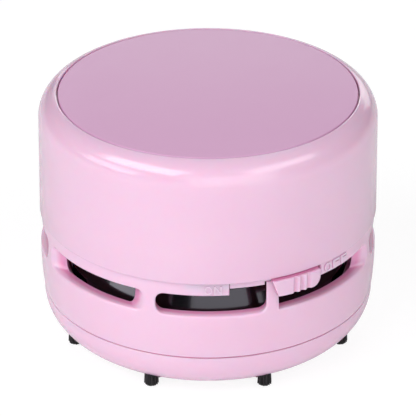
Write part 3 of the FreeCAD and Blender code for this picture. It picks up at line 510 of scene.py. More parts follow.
def make_mesh_cloth():
    """Woven filter cloth: two crossed sets of threads."""
    finish = Finish("mesh_cloth", srgb(214, 214, 210), 0.85)
    threads = []
    for direction in ("X", "Y"):
        settings = {"wave_type": "BANDS", "bands_direction": direction, "wave_profile": "SIN"}
        sockets = {"Vector": finish.place, "Scale": THREAD_SCALE}
        threads.append(finish.node("TexWave", settings, sockets, "Fac"))
    weave = finish.maths("MAXIMUM", threads[0], threads[1])
    finish.feed("Base Color", finish.mix(weave, srgb(120, 120, 116), srgb(222, 222, 218)))
    finish.bump(weave, 0.8, 0.0001)
    return finish.material


bristle = make_bristle()
mesh_cloth = make_mesh_cloth()


# How far from the middle of a cell's length its jacket ends
JACKET_END = 24.4 * MM


def make_cell_jacket():
    """A plain printed jacket, with bare steel at both ends of the cell."""
    finish = Finish("cell_jacket", srgb(60, 66, 78), 0.35)
    along = finish.maths("ABSOLUTE", finish.axis("Y"), 0.0)
    bare = finish.maths("GREATER_THAN", along, JACKET_END)
    tone = finish.noise(300, 3)
    jacket = finish.mix(tone, srgb(52, 60, 78), srgb(66, 74, 92))
    finish.feed("Base Color", finish.mix(bare, jacket, srgb(190, 190, 192)))
    finish.feed("Metallic", bare)
    finish.feed("Roughness", tone * 0.12 + 0.26)
    finish.bump(tone, 0.1, 0.00002)
    return finish.material


cell_jacket = make_cell_jacket()

MATERIALS = {
    "pink_gloss": pink_gloss,
    "pink_satin": pink_satin,
    "bristle": bristle,
    "seal_rubber": seal_rubber,
    "black_gloss": black_gloss,
    "black_matte": black_matte,
    "grey_plastic": grey_plastic,
    "mesh_cloth": mesh_cloth,
    "steel": steel,
    "copper": copper,
    "magnet": magnet,
    "cell_jacket": cell_jacket,
    "red_lead": red_lead,
    "black_lead": black_lead,
}


def dress_nodes():
    """Every CAD node takes the material of its slot."""
    for part in frame["record"]["subparts"]:
        node = frame["nodes"][part["node"]]
        node.data.materials.clear()
        node.data.materials.append(MATERIALS[part["material_slot"]])


# Upper housing and its disc

SHOULDER_R = 6.7 * MM
SHOULDER_RUN = 4.3 * MM
SHOULDER_DROP = 5.7 * MM
DRAFT = 0.4 * MM
HOUSING_WALL = 2.0 * MM
RECESS_LIP = 0.25 * MM
ROOF = 1.8 * MM
RECESS_EDGE = 0.1 * MM
EDGE_ROUND = 0.3 * MM
# The chamfer between the inner wall and the roof
INNER_CHAMFER = (2.6 * MM, 3.1 * MM)
# Two rings on the way up the wall: share of the draft, and height over the deck
WALL_RINGS = ((0.33, 8 * MM), (0.66, 16 * MM))


def make_upper_housing():
    wall_top = (HOUSING_R - DRAFT, TOP_Z - SHOULDER_DROP)
    lip = (wall_top[0] - SHOULDER_RUN, TOP_Z)
    recess_r = lip[0] - RECESS_LIP
    roof_under = disc_low.z - ROOF
    inner_top = wall_top[0] - HOUSING_WALL
    stations = [
        (inner_top - INNER_CHAMFER[0], roof_under),
        (inner_top, roof_under - INNER_CHAMFER[1]),
        (HOUSING_R - HOUSING_WALL, DECK_Z),
        (HOUSING_R - EDGE_ROUND, DECK_Z),
        *arc((HOUSING_R - EDGE_ROUND, DECK_Z), (HOUSING_R, DECK_Z + EDGE_ROUND), EDGE_ROUND, 4),
        *[(HOUSING_R - DRAFT * share, DECK_Z + rise) for share, rise in WALL_RINGS],
        wall_top,
        *arc(wall_top, lip, SHOULDER_R, 18),
        (recess_r, TOP_Z - RECESS_EDGE),
        (recess_r, disc_low.z),
    ]
    piece = turned("housing_shell", stations, solid=True)
    smooth(piece, 35)
    finish_piece(piece, pink_gloss, "pink_gloss", "cover", "upper_housing")


def make_top_disc():
    edge = 0.35 * MM
    stations = [
        (DISC_R, disc_low.z),
        (DISC_R, TOP_Z - edge),
        *arc((DISC_R, TOP_Z - edge), (DISC_R - edge, TOP_Z), edge, 5),
    ]
    piece = turned("satin_disc", stations, solid=True)
    smooth(piece, 35)
    finish_piece(piece, pink_satin, "pink_satin", "cover", "top_plate")


# Lower body

def body_radius(height):
    """The outer radius of the lower body at a height."""
    rise = DECK_Z - SEAM_Z - SEAM_GROOVE
    share = (height - SEAM_Z - SEAM_GROOVE) / rise
    chord = BODY_SEAM_R + (BODY_BAND_R - BODY_SEAM_R) * share
    return chord + share * (1 - share) * rise ** 2 / (2 * BODY_BULGE_R)


def edit_mesh(piece):
    bpy.ops.object.mode_set(mode="EDIT")
    return bmesh.from_edit_mesh(piece.data)


def select_only(piece, items, test):
    """In edit mode, leave selected just the vertices, edges or faces that pass the test."""
    bpy.ops.mesh.select_all(action="DESELECT")
    for item in items:
        if test(item):
            item.select_set(True)
    bmesh.from_edit_mesh(piece.data).select_flush_mode()
    bmesh.update_edit_mesh(piece.data)


def mouth_cutter(angle, half, low, high, corner=WINDOW_CORNER, step_angle=None, flare=0):
    """What an opening takes from the bulging wall, its outer edge rounded. The outline starts at its widest,
    is drawn in ring by ring as it goes deeper, and is then laid on the wall. A step adds the notch that rises
    from the window's right part up to the deck."""
    steps = range(MOUTH_STEPS + 1)
    turns = [math.radians(MOUTH_START + (90 - MOUTH_START) * step / MOUTH_STEPS) for step in steps]
    rings = [(MOUTH_ROUND * (1 - math.sin(turn)), MOUTH_ROUND * (1 - math.cos(turn))) for turn in turns]
    first_offset = rings[0][0] + (CUT_CLEAR + rings[0][1]) / math.tan(turns[0])
    rings.insert(0, (first_offset, -CUT_CLEAR))
    wide, tall = half + first_offset, (high - low) / 2 + first_offset
    middle = (low + high) / 2
    deselect_all()
    bpy.ops.mesh.primitive_plane_add(size=1, rotation=(math.pi / 2, 0, 0))
    piece = bpy.context.object
    piece.scale = (wide * 2, tall * 2, 1)
    piece.location = (0, 0, middle)
    settle(piece, "mouth_cutter")
    edit = edit_mesh(piece)
    bpy.ops.mesh.select_mode(type="VERT")
    if step_angle is not None:
        step_x = BODY_SEAM_R * math.sin(math.radians(step_angle - angle)) - first_offset
        bpy.ops.mesh.select_all(action="SELECT")
        bpy.ops.mesh.bisect(plane_co=(step_x, 0, 0), plane_no=(1, 0, 0))
        edit = bmesh.from_edit_mesh(piece.data)
        select_only(piece, edit.verts, lambda v: v.co.z > middle and v.co.x > step_x - WELD)
        lift = DECK_Z + CUT_BEYOND - middle - tall
        bpy.ops.mesh.extrude_edges_move(TRANSFORM_OT_translate={"value": (0, 0, lift)})
        bpy.ops.mesh.select_all(action="SELECT")
        bpy.ops.mesh.dissolve_faces()
        bpy.ops.mesh.dissolve_limited(angle_limit=0.01)
        edit = bmesh.from_edit_mesh(piece.data)

    def at_rounded_corner(vertex):
        x, rise = vertex.co.x, vertex.co.z - middle
        on_step = step_angle is not None and x > 0 and rise > 0
        return abs(abs(x) - wide) < WELD and abs(abs(rise) - tall) < WELD and not on_step

    select_only(piece, edit.verts, at_rounded_corner)
    bpy.ops.mesh.bevel(
        offset=corner + first_offset, segments=CORNER_STEPS, affect="VERTICES", clamp_overlap=False
    )
    bpy.ops.mesh.select_mode(type="EDGE")
    edit = bmesh.from_edit_mesh(piece.data)

    def follows_wall(edge):
        ends = [vertex.co for vertex in edge.verts]
        return abs(ends[0].z - ends[1].z) < WELD and edge.calc_length() > MM and ends[0].z < DECK_Z

    select_only(piece, edit.edges, follows_wall)
    bpy.ops.mesh.subdivide(number_cuts=WALL_CUTS)
    bpy.ops.mesh.select_mode(type="FACE")
    bpy.ops.mesh.select_all(action="SELECT")
    bpy.ops.mesh.extrude_region_move(TRANSFORM_OT_translate={"value": (0, CUT_BEYOND, 0)})
    offset, depth = rings[0]
    for next_offset, next_depth in rings[1:]:
        drawn_in = offset - next_offset
        bpy.ops.mesh.inset(thickness=drawn_in, depth=depth - next_depth, use_even_offset=True)
        offset, depth = next_offset, next_depth
    for step in range(FLARE_STEPS if flare else 0):
        next_depth = depth + (FLARE_DEPTH - MOUTH_ROUND) / FLARE_STEPS
        bpy.ops.mesh.extrude_region_move(TRANSFORM_OT_translate={"value": (0, next_depth - depth, 0)})
        depth = next_depth
    bpy.ops.mesh.extrude_region_move(TRANSFORM_OT_translate={"value": (0, CUT_BEYOND, 0)})
    surface_level = CUT_BEYOND + CUT_CLEAR
    edit = bmesh.from_edit_mesh(piece.data)
    for vertex in edit.verts:
        level = vertex.co.y
        if flare and level > WELD:
            inward = min(max(level - surface_level, -CUT_CLEAR), FLARE_DEPTH)
            vertex.co.x *= (half - flare * inward) / half
        if level < WELD:
            vertex.co.y = -HOUSING_R - CUT_BEYOND
        elif level > surface_level + depth + WELD:
            vertex.co.y = -CUT_INNER_R
        else:
            surface = math.sqrt(body_radius(min(vertex.co.z, DECK_Z)) ** 2 - vertex.co.x ** 2)
            vertex.co.y = level - surface_level - surface
    bmesh.update_edit_mesh(piece.data)
    bpy.ops.mesh.select_all(action="SELECT")
    bpy.ops.mesh.quads_convert_to_tris()
    bpy.ops.object.mode_set(mode="OBJECT")
    piece.rotation_euler.z = math.radians(angle)
    settle(piece, "mouth_cutter")
    close_mesh(piece)
    return piece


def make_lower_body():
    spigot_outer, spigot_inner, spigot_top = 39.7 * MM, 37.9 * MM, body_high.z
    opening_r = 29.0 * MM
    flange_z, flange_top, flange_r = SEAM_Z + 4.8 * MM, SEAM_Z + 6.2 * MM, 35.3 * MM
    waist = (BODY_SEAM_R, SEAM_Z + SEAM_GROOVE)
    groove_r, groove_top = BODY_SEAM_R - SEAM_GROOVE, SEAM_Z + SEAM_GROOVE * 0.8
    first = (BODY_INNER_R, SEAM_Z)
    stations = [
        first,
        (groove_r, SEAM_Z),
        (groove_r, groove_top),
        (BODY_SEAM_R - SEAM_GROOVE * 0.2, groove_top),
        waist,
        *arc(waist, (BODY_BAND_R, DECK_Z), BODY_BULGE_R, 22),
        (spigot_outer, DECK_Z),
        (spigot_outer, spigot_top),
        (spigot_inner, spigot_top),
        (spigot_inner, DECK_Z),
        (opening_r, DECK_Z),
        (opening_r, DECK_UNDER_Z),
        (BODY_INNER_R, DECK_UNDER_Z),
        (BODY_INNER_R, flange_top),
        (flange_r, flange_top),
        (flange_r, flange_z),
        (BODY_INNER_R, flange_z),
        first,
    ]
    piece = turned("body_shell", stations)
    for turn in range(4):
        step_angle = NOTCH_START if turn == 0 else None
        angle = WINDOW_FIRST + 90 * turn
        cut(piece, mouth_cutter(angle, WINDOW_HALF, WINDOW_LOW, WINDOW_HIGH, step_angle=step_angle))
        cut(piece, mouth_cutter(angle + 45, FLARE_OUTER_HALF, WINDOW_LOW, WINDOW_HIGH, flare=FLARE))
    notch_half = math.radians(NOTCH_END - PILLAR_END) / 2 * BODY_SEAM_R
    notch_middle = (NOTCH_END + PILLAR_END) / 2
    cut(piece, mouth_cutter(notch_middle, notch_half, WINDOW_LOW, DECK_Z + 2 * MM, corner=NOTCH_CORNER))
    # Room for the slide: name, inner and outer radius, lowest and highest point, first and last angle, steps
    above = DECK_Z + MM
    room = (
        ("channel_cutter", 34.8 * MM, 40.4 * MM, CHANNEL_Z, above, -6.5, 41.0, 48),
        ("slot_cutter", 40.1 * MM, HOUSING_R + MM, CHANNEL_Z, above, NOTCH_START, NOTCH_END, 40),
        ("groove_cutter", 39.85 * MM, 41.0 * MM, STRIP_LOW - 0.1 * MM, DECK_Z, -7.0, NOTCH_START + 1, 16),
    )
    for block in room:
        cut(piece, sector(*block))
    close_mesh(piece)
    smooth(piece, 38)
    finish_piece(piece, pink_body_painted_shade, "pink_gloss", "main_unit", "lower_body")


# Dust tray

def make_dust_tray():
    rim = (tray_high.x, SEAM_Z - TRAY_EDGE)
    foot = (37.2 * MM, TRAY_Z)
    spigot_outer, spigot_inner = 38.9 * MM, 37.3 * MM
    floor_z = TRAY_Z + 1.6 * MM
    inlet_r, inlet_outer, inlet_top = 8.0 * MM, 9.5 * MM, TRAY_Z + 7.6 * MM
    flare = 1.2 * MM
    underside_ring, side_round = 24 * MM, 9.8 * MM
    first = (inlet_r + flare, TRAY_Z)
    stations = [
        first,
        (underside_ring, TRAY_Z),
        foot,
        *arc(foot, rim, side_round, 18),
        (rim[0] - TRAY_EDGE, SEAM_Z),
        (spigot_outer, SEAM_Z),
        (spigot_outer, tray_high.z),
        (spigot_inner, tray_high.z),
        (spigot_inner, floor_z),
        (inlet_outer, floor_z),
        (inlet_outer, inlet_top),
        (inlet_r, inlet_top),
        (inlet_r, TRAY_Z + flare),
        first,
    ]
    piece = turned("tray_shell", stations)
    smooth(piece, 35)
    finish_piece(piece, pink_gloss, "pink_gloss", "dust_base", "dust_tray")


# Bristle tufts

TUFTS = 8
TUFT_FIRST = 22.5
TUFT_BRISTLES = 56
TUFT_R = 1.5 * MM
# How much shorter the outermost bristles are, and how unevenly all are cut, in millimetres
TUFT_DOME = 0.5
TUFT_UNEVEN = 0.12
BRISTLE_R = 0.19 * MM
BRISTLE_TIP = 0.06 * MM
BRISTLE_LEAN = 0.05
# The turn from one bristle to the next that spreads them evenly over a disc, in radians
GOLDEN_TURN = 2.39996


def make_tufts(name, node, ring, low, seed):
    """Eight tufts of round-tipped bristles, each splayed a little from its root in the tray."""
    draw = random.Random(seed)
    bristles = []
    root_z = TRAY_Z + 0.6 * MM
    for index in range(TUFT_BRISTLES):
        share = math.sqrt((index + 0.5) / TUFT_BRISTLES)
        around = index * GOLDEN_TURN
        spread = TUFT_R * share
        deselect_all()
        bpy.ops.mesh.primitive_cylinder_add(vertices=7, radius=BRISTLE_R, depth=1, end_fill_type="NGON")
        one = bpy.context.object
        length = root_z - low - (draw.uniform(0, TUFT_UNEVEN) + TUFT_DOME * share**4) * MM
        one.scale = (1, 1, length)
        one.location = (0, 0, root_z - length / 2)
        settle(one, "bristle")
        bpy.ops.object.mode_set(mode="EDIT")
        edit = bmesh.from_edit_mesh(one.data)
        for face in edit.faces:
            face.select_set(len(face.verts) > 4 and face.calc_center_median().z < root_z - length / 2)
        bmesh.update_edit_mesh(one.data)
        bpy.ops.mesh.extrude_region_move(TRANSFORM_OT_translate={"value": (0, 0, -BRISTLE_TIP)})
        bpy.ops.transform.resize(value=(0.5, 0.5, 1))
        bpy.ops.object.mode_set(mode="OBJECT")
        lean = (math.cos(around) * share * BRISTLE_LEAN, math.sin(around) * share * BRISTLE_LEAN)
        splay = Matrix((
            (1, 0, -lean[0], lean[0] * root_z),
            (0, 1, -lean[1], lean[1] * root_z),
            (0, 0, 1, 0),
            (0, 0, 0, 1),
        ))
        place = Matrix.Translation((math.cos(around) * spread, math.sin(around) * spread, 0))
        one.data.transform(place @ splay)
        bristles.append(one)
    tuft = join(bristles, "tuft")
    tufts = []
    for index in range(TUFTS):
        turn = Matrix.Rotation(math.radians(TUFT_FIRST + 360 / TUFTS * index), 4, "Z")
        spin = Matrix.Rotation(draw.uniform(0, math.tau), 4, "Z")
        copy = tuft.copy()
        copy.data = tuft.data.copy()
        copy.data.transform(turn @ Matrix.Translation((0, -ring, 0)) @ spin)
        bpy.context.scene.collection.objects.link(copy)
        tufts.append(copy)
    bpy.data.objects.remove(tuft)
    piece = join(tufts, name)
    lowest = min(vertex.co.z for vertex in piece.data.vertices)
    piece.data.transform(Matrix.Translation((0, 0, low - lowest)))
    smooth(piece, 60)
    finish_piece(piece, bristle, "bristle", "dust_base", node)


# Switch slide

# Angles of the thumb piece: its ends, how far its start leans over at the top and up to where, and where its
# lower corner's rounding begins
KNOB_START = 22.9
KNOB_LEAN = 2.0
KNOB_LEAN_END = 28
KNOB_END = 38.4
CORNER_START = 35.4
CORNER_RISE = 2.7 * MM
# The slight rounding of the lower corner at its start, in degrees: its width, and that of a full one
START_ROUND = 3
START_ROUND_FULL = 12
KNOB_ROUND = 0.35 * MM
GROOVES = (28.85, 31.3, 33.75)
GROOVE_HALF = 1.15
GROOVE_DEPTH = 0.5 * MM


def groove_share(angle):
    """How deep the thumb piece's front lies at an angle: 0 on a rib, 1 along the middle of a groove."""
    nearest = min(abs(angle - groove) for groove in GROOVES)
    return math.cos(math.pi / 2 * min(nearest / GROOVE_HALF, 1)) ** 2


def make_switch_slider():
    plate_low, plate_high = CHANNEL_Z + 0.1 * MM, DECK_Z - 0.1 * MM
    knob_low, knob_high = slider_low.z + 0.45 * MM, DECK_Z - 0.3 * MM
    knob_inner, knob_outer = 42.0 * MM, 43.25 * MM
    # Name, inner and outer radius, lowest and highest point, first and last angle, steps
    blocks = (
        ("slide_plate", 35 * MM, 40.1 * MM, plate_low, plate_high, 8, 40, 32),
        ("slide_rim", 40.0 * MM, 40.9 * MM, STRIP_LOW, plate_high, NOTCH_START + 0.3, 19.1, 16),
        ("high_rim", 40.0 * MM, 40.9 * MM, plate_low, plate_high, 19.0, 39.5, 20),
        ("neck", 39.8 * MM, 42.3 * MM, plate_low, plate_high, 21.3, KNOB_END, 24),
        ("tab", 35.3 * MM, 36.9 * MM, plate_high - 0.05 * MM, plate_high + 3.45 * MM, 28, 37, 10),
    )
    pieces = [sector(*block) for block in blocks]
    knob = sector("knob", knob_inner, knob_outer, knob_low, knob_high, KNOB_START, KNOB_END, 93)
    soften(knob, KNOB_ROUND, 4)
    for vertex in knob.data.vertices:
        across = math.hypot(vertex.co.x, vertex.co.y)
        angle = math.degrees(math.atan2(vertex.co.x, -vertex.co.y))
        outward = min(max((across - knob_inner) / (knob_outer - knob_inner), 0), 1)
        across -= GROOVE_DEPTH * groove_share(angle) * outward
        up = (vertex.co.z - knob_low) / (knob_high - knob_low)
        at_end = (angle - CORNER_START) / (KNOB_END - CORNER_START)
        at_start = (KNOB_START + START_ROUND - angle) / START_ROUND_FULL
        rounding = min(max(at_end, at_start, 0), 1)
        vertex.co.z += CORNER_RISE * (1 - math.sqrt(1 - rounding**2)) * (1 - up)
        leaning = min(max((KNOB_LEAN_END - angle) / (KNOB_LEAN_END - KNOB_START), 0), 1)
        angle -= KNOB_LEAN * up * leaning
        vertex.co.x = across * math.sin(math.radians(angle))
        vertex.co.y = -across * math.cos(math.radians(angle))
    smooth(knob, 50)
    piece = join([*pieces, knob], "switch_thumb")
    finish_piece(piece, pink_thumb_painted_shade, "pink_gloss", "switch", "switch_slider")


# Fan housing behind the windows

# The drum narrows to a waist behind the windows, so that it mirrors the light from the front
WAIST_LOW = 21.2 * MM
WAIST_HIGH = 26.0 * MM
WAIST_IN = 2.45 * MM
# The ports by which the air leaves the fan: their number, the first one's angle, and width, depth and height
PORTS = 8
PORT_FIRST = 23.5
PORT_SIZE = millimetres(10, 8, 2.7)
PORT_ROUND = 0.8 * MM


def make_fan_drum():
    wall = 1.6 * MM
    inner = DRUM_R - wall
    ceiling = drum_high.z - wall
    shaft = 3.2 * MM
    waist_top = WAIST_HIGH + MM
    waist = [(0, WAIST_LOW), (WAIST_IN, WAIST_HIGH), (WAIST_IN, waist_top), (0, waist_top + WAIST_IN)]
    first = (inner, drum_low.z)
    stations = [
        first,
        (DRUM_R, drum_low.z),
        *[(DRUM_R - drawn_in, height) for drawn_in, height in waist],
        (DRUM_R, drum_high.z),
        (shaft, drum_high.z),
        (shaft, ceiling),
        (inner - WAIST_IN, ceiling),
        *[(inner - drawn_in, height) for drawn_in, height in reversed(waist[:2])],
        first,
    ]
    piece = turned("fan_drum", stations)
    port_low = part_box("inlet_plate")[1].z - 1.0 * MM
    for index in range(PORTS):
        deselect_all()
        bpy.ops.mesh.primitive_cube_add(size=1)
        cutter = bpy.context.object
        cutter.scale = PORT_SIZE
        cutter.location = (0, -DRUM_R, port_low + PORT_SIZE[2] / 2)
        settle(cutter, "port_cutter")
        soften(cutter, PORT_ROUND)
        cutter.rotation_euler.z = math.radians(PORT_FIRST + 360 / PORTS * index)
        settle(cutter, "port_cutter")
        cut(piece, cutter)
    smooth(piece, 12)
    finish_piece(piece, black_gloss, "black_gloss", "main_unit", "fan_housing")


# Raised letters beside the switch

# Each word with the angles at which it starts and ends, and the share of its pitch that a letter fills
WORDS = (("ON", -1.5, 4.9), ("OFF", 41.8, 53.9))
LETTER_FILL = 0.84
TEXT_DEPTH = 0.1
TEXT_BEVEL = 0.03


def make_letter(character, angle, width):
    deselect_all()
    bpy.ops.object.text_add()
    letter = bpy.context.object
    letter.data.body = character
    letter.data.extrude = TEXT_DEPTH
    letter.data.bevel_depth = TEXT_BEVEL
    letter.data.resolution_u = 6
    bpy.ops.object.convert(target="MESH")
    letter = bpy.context.object
    corners = [vertex.co for vertex in letter.data.vertices]
    low = Vector([min(corner[axis] for corner in corners) for axis in range(3)])
    high = Vector([max(corner[axis] for corner in corners) for axis in range(3)])
    size = high - low
    middle = (low + high) / 2
    depth = 2 * LETTER_RISE
    scale = Matrix.Diagonal((width / size.x, LETTER_HEIGHT / size.y, depth / size.z, 1))
    height = LETTER_LOW + LETTER_HEIGHT / 2
    radius = body_radius(height)
    drawn_in = body_radius(LETTER_LOW) - body_radius(LETTER_LOW + LETTER_HEIGHT)
    lean = math.atan2(drawn_in, LETTER_HEIGHT)
    upright = Matrix.Rotation(math.pi / 2 - lean, 4, "X")
    place = Matrix.Rotation(math.radians(angle), 4, "Z") @ Matrix.Translation((0, -radius, height))
    letter.data.transform(place @ upright @ scale @ Matrix.Translation(-middle))
    close_mesh(letter)
    return letter


def make_lettering():
    for word, start, end in WORDS:
        pitch = (end - start) / len(word)
        width = math.radians(pitch) * BODY_BAND_R * LETTER_FILL
        letters = []
        for index, character in enumerate(word):
            letters.append(make_letter(character, start + pitch * (index + 0.5), width))
        piece = join(letters, "mark_" + word.lower())
        smooth(piece, 30)
        finish_piece(piece, pink_mark_painted_shade, "pink_gloss", "main_unit")


# What stands inside

def own_shape(node_name, name, merge_flats=True):
    """A copy of a node's own shape as one closed mesh."""
    node = frame["nodes"][node_name]
    piece = bpy.data.objects.new(name, node.data.copy())
    bpy.context.scene.collection.objects.link(piece)
    piece.data.transform(node.matrix_world)
    close_mesh(piece)
    if merge_flats:
        pick(piece)
        bpy.ops.object.mode_set(mode="EDIT")
        bpy.ops.mesh.select_all(action="SELECT")
        bpy.ops.mesh.dissolve_limited(angle_limit=math.radians(0.5))
        bpy.ops.object.mode_set(mode="OBJECT")
    return piece


def break_edges(node_name, name, width, material, slot, body, merge_flats):
    """Give a node's own shape the small rounds its mould or press leaves on it."""
    piece = own_shape(node_name, name, merge_flats)
    soften(piece, width, 2, 40)
    smooth(piece, 40)
    finish_piece(piece, material, slot, body, node_name)


# Node, name, width of the rounds in millimetres, slot, body, and whether its flat faces are merged first
BROKEN_EDGES = (
    ("battery_holder", "holder_frame", 0.3, "black_matte", "main_unit", True),
    ("motor_end_cap", "motor_cap", 0.2, "grey_plastic", "main_unit", False),
    ("motor_can", "motor_case", 0.3, "steel", "main_unit", True),
    ("inlet_plate", "fan_eye_plate", 0.2, "black_gloss", "main_unit", True),
    ("filter_frame", "filter_rim", 0.2, "grey_plastic", "main_unit", True),
    ("impeller", "fan_wheel", 0.12, "grey_plastic", "fan", True),
    ("switch_blades", "blade_strips", 0.08, "copper", "main_unit", True),
    ("contact_plates", "battery_plates", 0.08, "steel", "main_unit", True),
)
CELL_R = 7.25 * MM
CELL_NUB = 1.0 * MM
CELL_SIDES = 72
# A cell's outline, radius and height in millimetres: from its flat end, and from the can's end at the nub
CELL_FLAT_END = ((5.1, 0.25), (5.4, 0), (6.5, 0), (7.05, 0.2), (7.25, 0.7))
CELL_NUB_END = (
    (7.25, -0.9),
    (7.05, -0.2),
    (6.5, 0),
    (6.1, 0),
    (5.9, -0.3),
    (3.4, -0.3),
    (2.75, 0),
    (2.75, 0.65),
    (2.4, 1.0),
)


def node_corners(name, side):
    """The corners of a node that lie left (-1) or right (1) of the middle."""
    node = frame["nodes"][name]
    corners = [node.matrix_world @ vertex.co for vertex in node.data.vertices]
    return [corner for corner in corners if corner.x * side > 0]


def lay_down(piece, x, start, height, forward):
    """Turn a piece made upright so that it lies from start towards the back (1) or the front (-1)."""
    turn = Matrix.Rotation(-math.pi / 2 * forward, 4, "X")
    piece.data.transform(Matrix.Translation((x, start, height)) @ turn)


def make_cells():
    for name, side in (("battery_cell_left", -1), ("battery_cell_right", 1)):
        low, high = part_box(name)
        corners = node_corners(name, side)
        middle = (low + high) / 2
        front = [corner for corner in corners if corner.y < low.y + 0.1 * MM]
        nub_in_front = max(abs(corner.x - middle.x) for corner in front) < CELL_R / 2
        can = high.y - low.y - CELL_NUB
        stations = [(radius * MM, rise * MM) for radius, rise in CELL_FLAT_END]
        stations += [(radius * MM, can + rise * MM) for radius, rise in CELL_NUB_END]
        piece = turned(name + "_shell", stations, solid=True, sides=CELL_SIDES)
        forward = -1 if nub_in_front else 1
        lay_down(piece, middle.x, high.y if nub_in_front else low.y, middle.z, forward)
        close_mesh(piece)
        smooth(piece, 35)
        finish_piece(piece, cell_jacket, "cell_jacket", "main_unit", name)


SPRING_TURNS = 4
SPRING_WIRE = 0.35 * MM
SPRING_WIRE_SIDES = 10
SPRING_TURN_STEPS = 30
# A coil's narrow end as a share of its wide one
SPRING_TAPER = 0.66


def make_contact_springs():
    coils = []
    for side in (-1, 1):
        corners = node_corners("contact_springs", side)
        ends = [min(c.y for c in corners), max(c.y for c in corners)]
        start, stop = sorted(ends, key=abs, reverse=True)
        length = abs(stop - start)
        x = (min(c.x for c in corners) + max(c.x for c in corners)) / 2
        height = (min(c.z for c in corners) + max(c.z for c in corners)) / 2
        wide = max(abs(c.x - x) for c in corners) - SPRING_WIRE
        narrow = wide * SPRING_TAPER
        deselect_all()
        bpy.ops.mesh.primitive_circle_add(
            vertices=SPRING_WIRE_SIDES,
            radius=SPRING_WIRE,
            location=(wide, 0, SPRING_WIRE),
            rotation=(math.pi / 2, 0, 0),
        )
        coil = settle(bpy.context.object, "coil")
        screw = coil.modifiers.new("screw", "SCREW")
        screw.axis = "Z"
        screw.angle = math.tau
        screw.iterations = SPRING_TURNS
        screw.screw_offset = (length - 2 * SPRING_WIRE) / SPRING_TURNS
        screw.steps = SPRING_TURN_STEPS
        screw.render_steps = SPRING_TURN_STEPS
        apply_modifier(coil, screw)
        pick(coil)
        bpy.ops.object.mode_set(mode="EDIT")
        bpy.ops.mesh.select_all(action="SELECT")
        bpy.ops.mesh.remove_doubles(threshold=WELD)
        bpy.ops.mesh.select_all(action="DESELECT")
        bpy.ops.mesh.select_non_manifold()
        bpy.ops.mesh.edge_face_add()
        bpy.ops.object.mode_set(mode="OBJECT")
        for vertex in coil.data.vertices:
            share = min(max(vertex.co.z / length, 0), 1)
            across = math.hypot(vertex.co.x, vertex.co.y)
            drawn = (across - (wide - narrow) * share) / across
            vertex.co.x *= drawn
            vertex.co.y *= drawn
        lay_down(coil, x, start, height, 1 if stop > start else -1)
        close_mesh(coil)
        coils.append(coil)
    piece = join(coils, "battery_springs")
    smooth(piece, 50)
    finish_piece(piece, steel, "steel", "main_unit", "contact_springs")


RECESS_ARM = 1.5 * MM
RECESS_WIDTH = 0.5 * MM
RECESS_DEPTH = 0.7 * MM
RECESS_TURN = 37
# Corners nearer to each other than this, seen from above, are of the same screw
SCREW_APART = 6 * MM
HEAD_FACE = 0.1 * MM
HEAD_ROUND = 0.35 * MM


def make_screws():
    """The screws with rounded heads and a cross recess in each."""
    piece = own_shape("chassis_screws", "cross_head_screws")
    screws = []
    for vertex in piece.data.vertices:
        near = [group for group in screws if (group[0].xy - vertex.co.xy).length < SCREW_APART]
        if near:
            near[0].append(vertex.co.copy())
        else:
            screws.append([vertex.co.copy()])
    centres = []
    for screw in screws:
        top = max(corner.z for corner in screw)
        rim = [corner for corner in screw if corner.z > top - HEAD_FACE]
        centres.append(sum(rim, Vector()) / len(rim))
    soften(piece, HEAD_ROUND, 4, 60)
    for index, centre in enumerate(centres):
        for arm in range(2):
            deselect_all()
            bpy.ops.mesh.primitive_cube_add(size=1, location=centre)
            cutter = bpy.context.object
            cutter.scale = (RECESS_ARM * 2, RECESS_WIDTH, RECESS_DEPTH * 2)
            cutter.rotation_euler.z = math.radians(90 * arm + RECESS_TURN * index)
            cut(piece, settle(cutter, "recess_cutter"))
    close_mesh(piece)
    smooth(piece, 40)
    finish_piece(piece, steel, "steel", "main_unit", "chassis_screws")


# Stage, lights and camera

FLOOR_SIZE = 6
FLOOR_GLOW = 1.1
# How much of the floor is its own glow, to the camera and in gloss
GLOW_TO_CAMERA = 0.8
GLOW_IN_GLOSS = 0.15
WORLD_COLOUR = (0.93, 0.94, 1.0, 1)
WORLD_STRENGTH = 0.03
LAMP_AIM = (0, 0, 0.03)
# Name, place, width, height and power of each lamp
LAMPS = (
    ("softbox_left", (-0.77, -0.64, 1.0), 1.2, 0.55, 10.2),
    ("left_low", (-1.0, -0.45, 0.34), 0.75, 0.28, 2.3),
    ("softbox_right", (0.84, -0.55, 0.95), 1.1, 0.45, 5.2),
    ("front_fill", (0.37, -1.33, 0.42), 1.47, 0.9, 7.4),
    ("back_panel", (0, 1.2, 0.62), 1.3, 0.6, 2.0),
    ("back_fill", (0.2, 1.3, 0.3), 1.4, 0.4, 3.0),
    ("overhead", (0, 0.45, 1.3), 1.2, 0.9, 1.2),
)


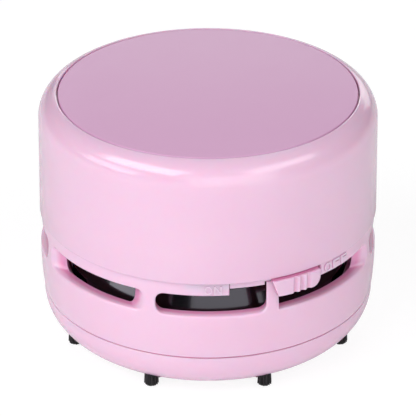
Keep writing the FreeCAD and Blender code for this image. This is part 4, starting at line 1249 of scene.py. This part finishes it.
def make_floor():
    """A pale floor that looks white and keeps the object's shadow."""
    deselect_all()
    bpy.ops.mesh.primitive_plane_add(size=FLOOR_SIZE)
    floor = bpy.context.object
    floor.name = "floor"
    finish = Finish("floor_paper", srgb(246, 246, 247), 0.6)
    tone = finish.noise(3, 2)
    finish.feed("Base Color", finish.mix(tone, srgb(244, 244, 245), srgb(248, 248, 249)))
    path = finish.node("LightPath", {}, {}, "Is Camera Ray")
    glossy = Wire(finish, path.socket.node.outputs["Is Glossy Ray"])
    clear = Wire(finish, path.socket.node.outputs["Is Transmission Ray"])
    share = path * GLOW_TO_CAMERA + (glossy + clear) * GLOW_IN_GLOSS
    seen = finish.maths("MINIMUM", share, GLOW_TO_CAMERA)
    glow = finish.node("Emission", {}, {"Color": (1, 1, 1, 1), "Strength": FLOOR_GLOW})
    lit = Wire(finish, finish.shader.outputs[0])
    both = finish.node("MixShader", {}, {"Fac": seen, "Shader": lit, "Shader_001": glow})
    output = next(node for node in finish.nodes if node.type == "OUTPUT_MATERIAL")
    finish.links.new(both.socket, output.inputs["Surface"])
    floor.data.materials.append(finish.material)


def make_light(name, place, width, height, power):
    light = bpy.data.lights.new(name, "AREA")
    light.shape = "RECTANGLE"
    light.size = width
    light.size_y = height
    light.energy = power
    lamp = bpy.data.objects.new(name, light)
    lamp.location = place
    lamp.rotation_euler = (Vector(LAMP_AIM) - Vector(place)).to_track_quat("-Z", "Y").to_euler()
    bpy.context.scene.collection.objects.link(lamp)


def make_world():
    world = bpy.data.worlds.new("studio")
    bpy.context.scene.world = world
    world.use_nodes = True
    background = world.node_tree.nodes["Background"]
    background.inputs["Color"].default_value = WORLD_COLOUR
    background.inputs["Strength"].default_value = WORLD_STRENGTH


LENS = 207.2
SENSOR = 36.0
CAMERA_DISTANCE = 600 * MM
CAMERA_ELEVATION = math.radians(28.07)
AIM_HEIGHT = 31.0 * MM


def make_camera():
    data = bpy.data.cameras.new("camera")
    data.lens = LENS
    data.sensor_width = SENSOR
    camera = bpy.data.objects.new("camera", data)
    aim = Vector((0, 0, AIM_HEIGHT))
    back = Vector((0, -math.cos(CAMERA_ELEVATION), math.sin(CAMERA_ELEVATION)))
    camera.location = aim + back * CAMERA_DISTANCE
    camera.rotation_euler = (-back).to_track_quat("-Z", "Y").to_euler()
    bpy.context.scene.collection.objects.link(camera)
    bpy.context.scene.camera = camera


bpy.context.scene.view_settings.view_transform = "Standard"
make_camera()
make_world()
make_floor()
for lamp in LAMPS:
    make_light(*lamp)

dress_nodes()
make_upper_housing()
make_top_disc()
make_lower_body()
make_dust_tray()
make_tufts("outer_bristles", "outer_tufts", 36 * MM, 0.0, 3)
make_tufts("inner_bristles", "inner_tufts", 32 * MM, 0.2 * MM, 5)
make_switch_slider()
make_fan_drum()
make_lettering()
make_cells()
make_contact_springs()
make_screws()
for node_name, name, width, slot, body, merge_flats in BROKEN_EDGES:
    break_edges(node_name, name, width * MM, MATERIALS[slot], slot, body, merge_flats)
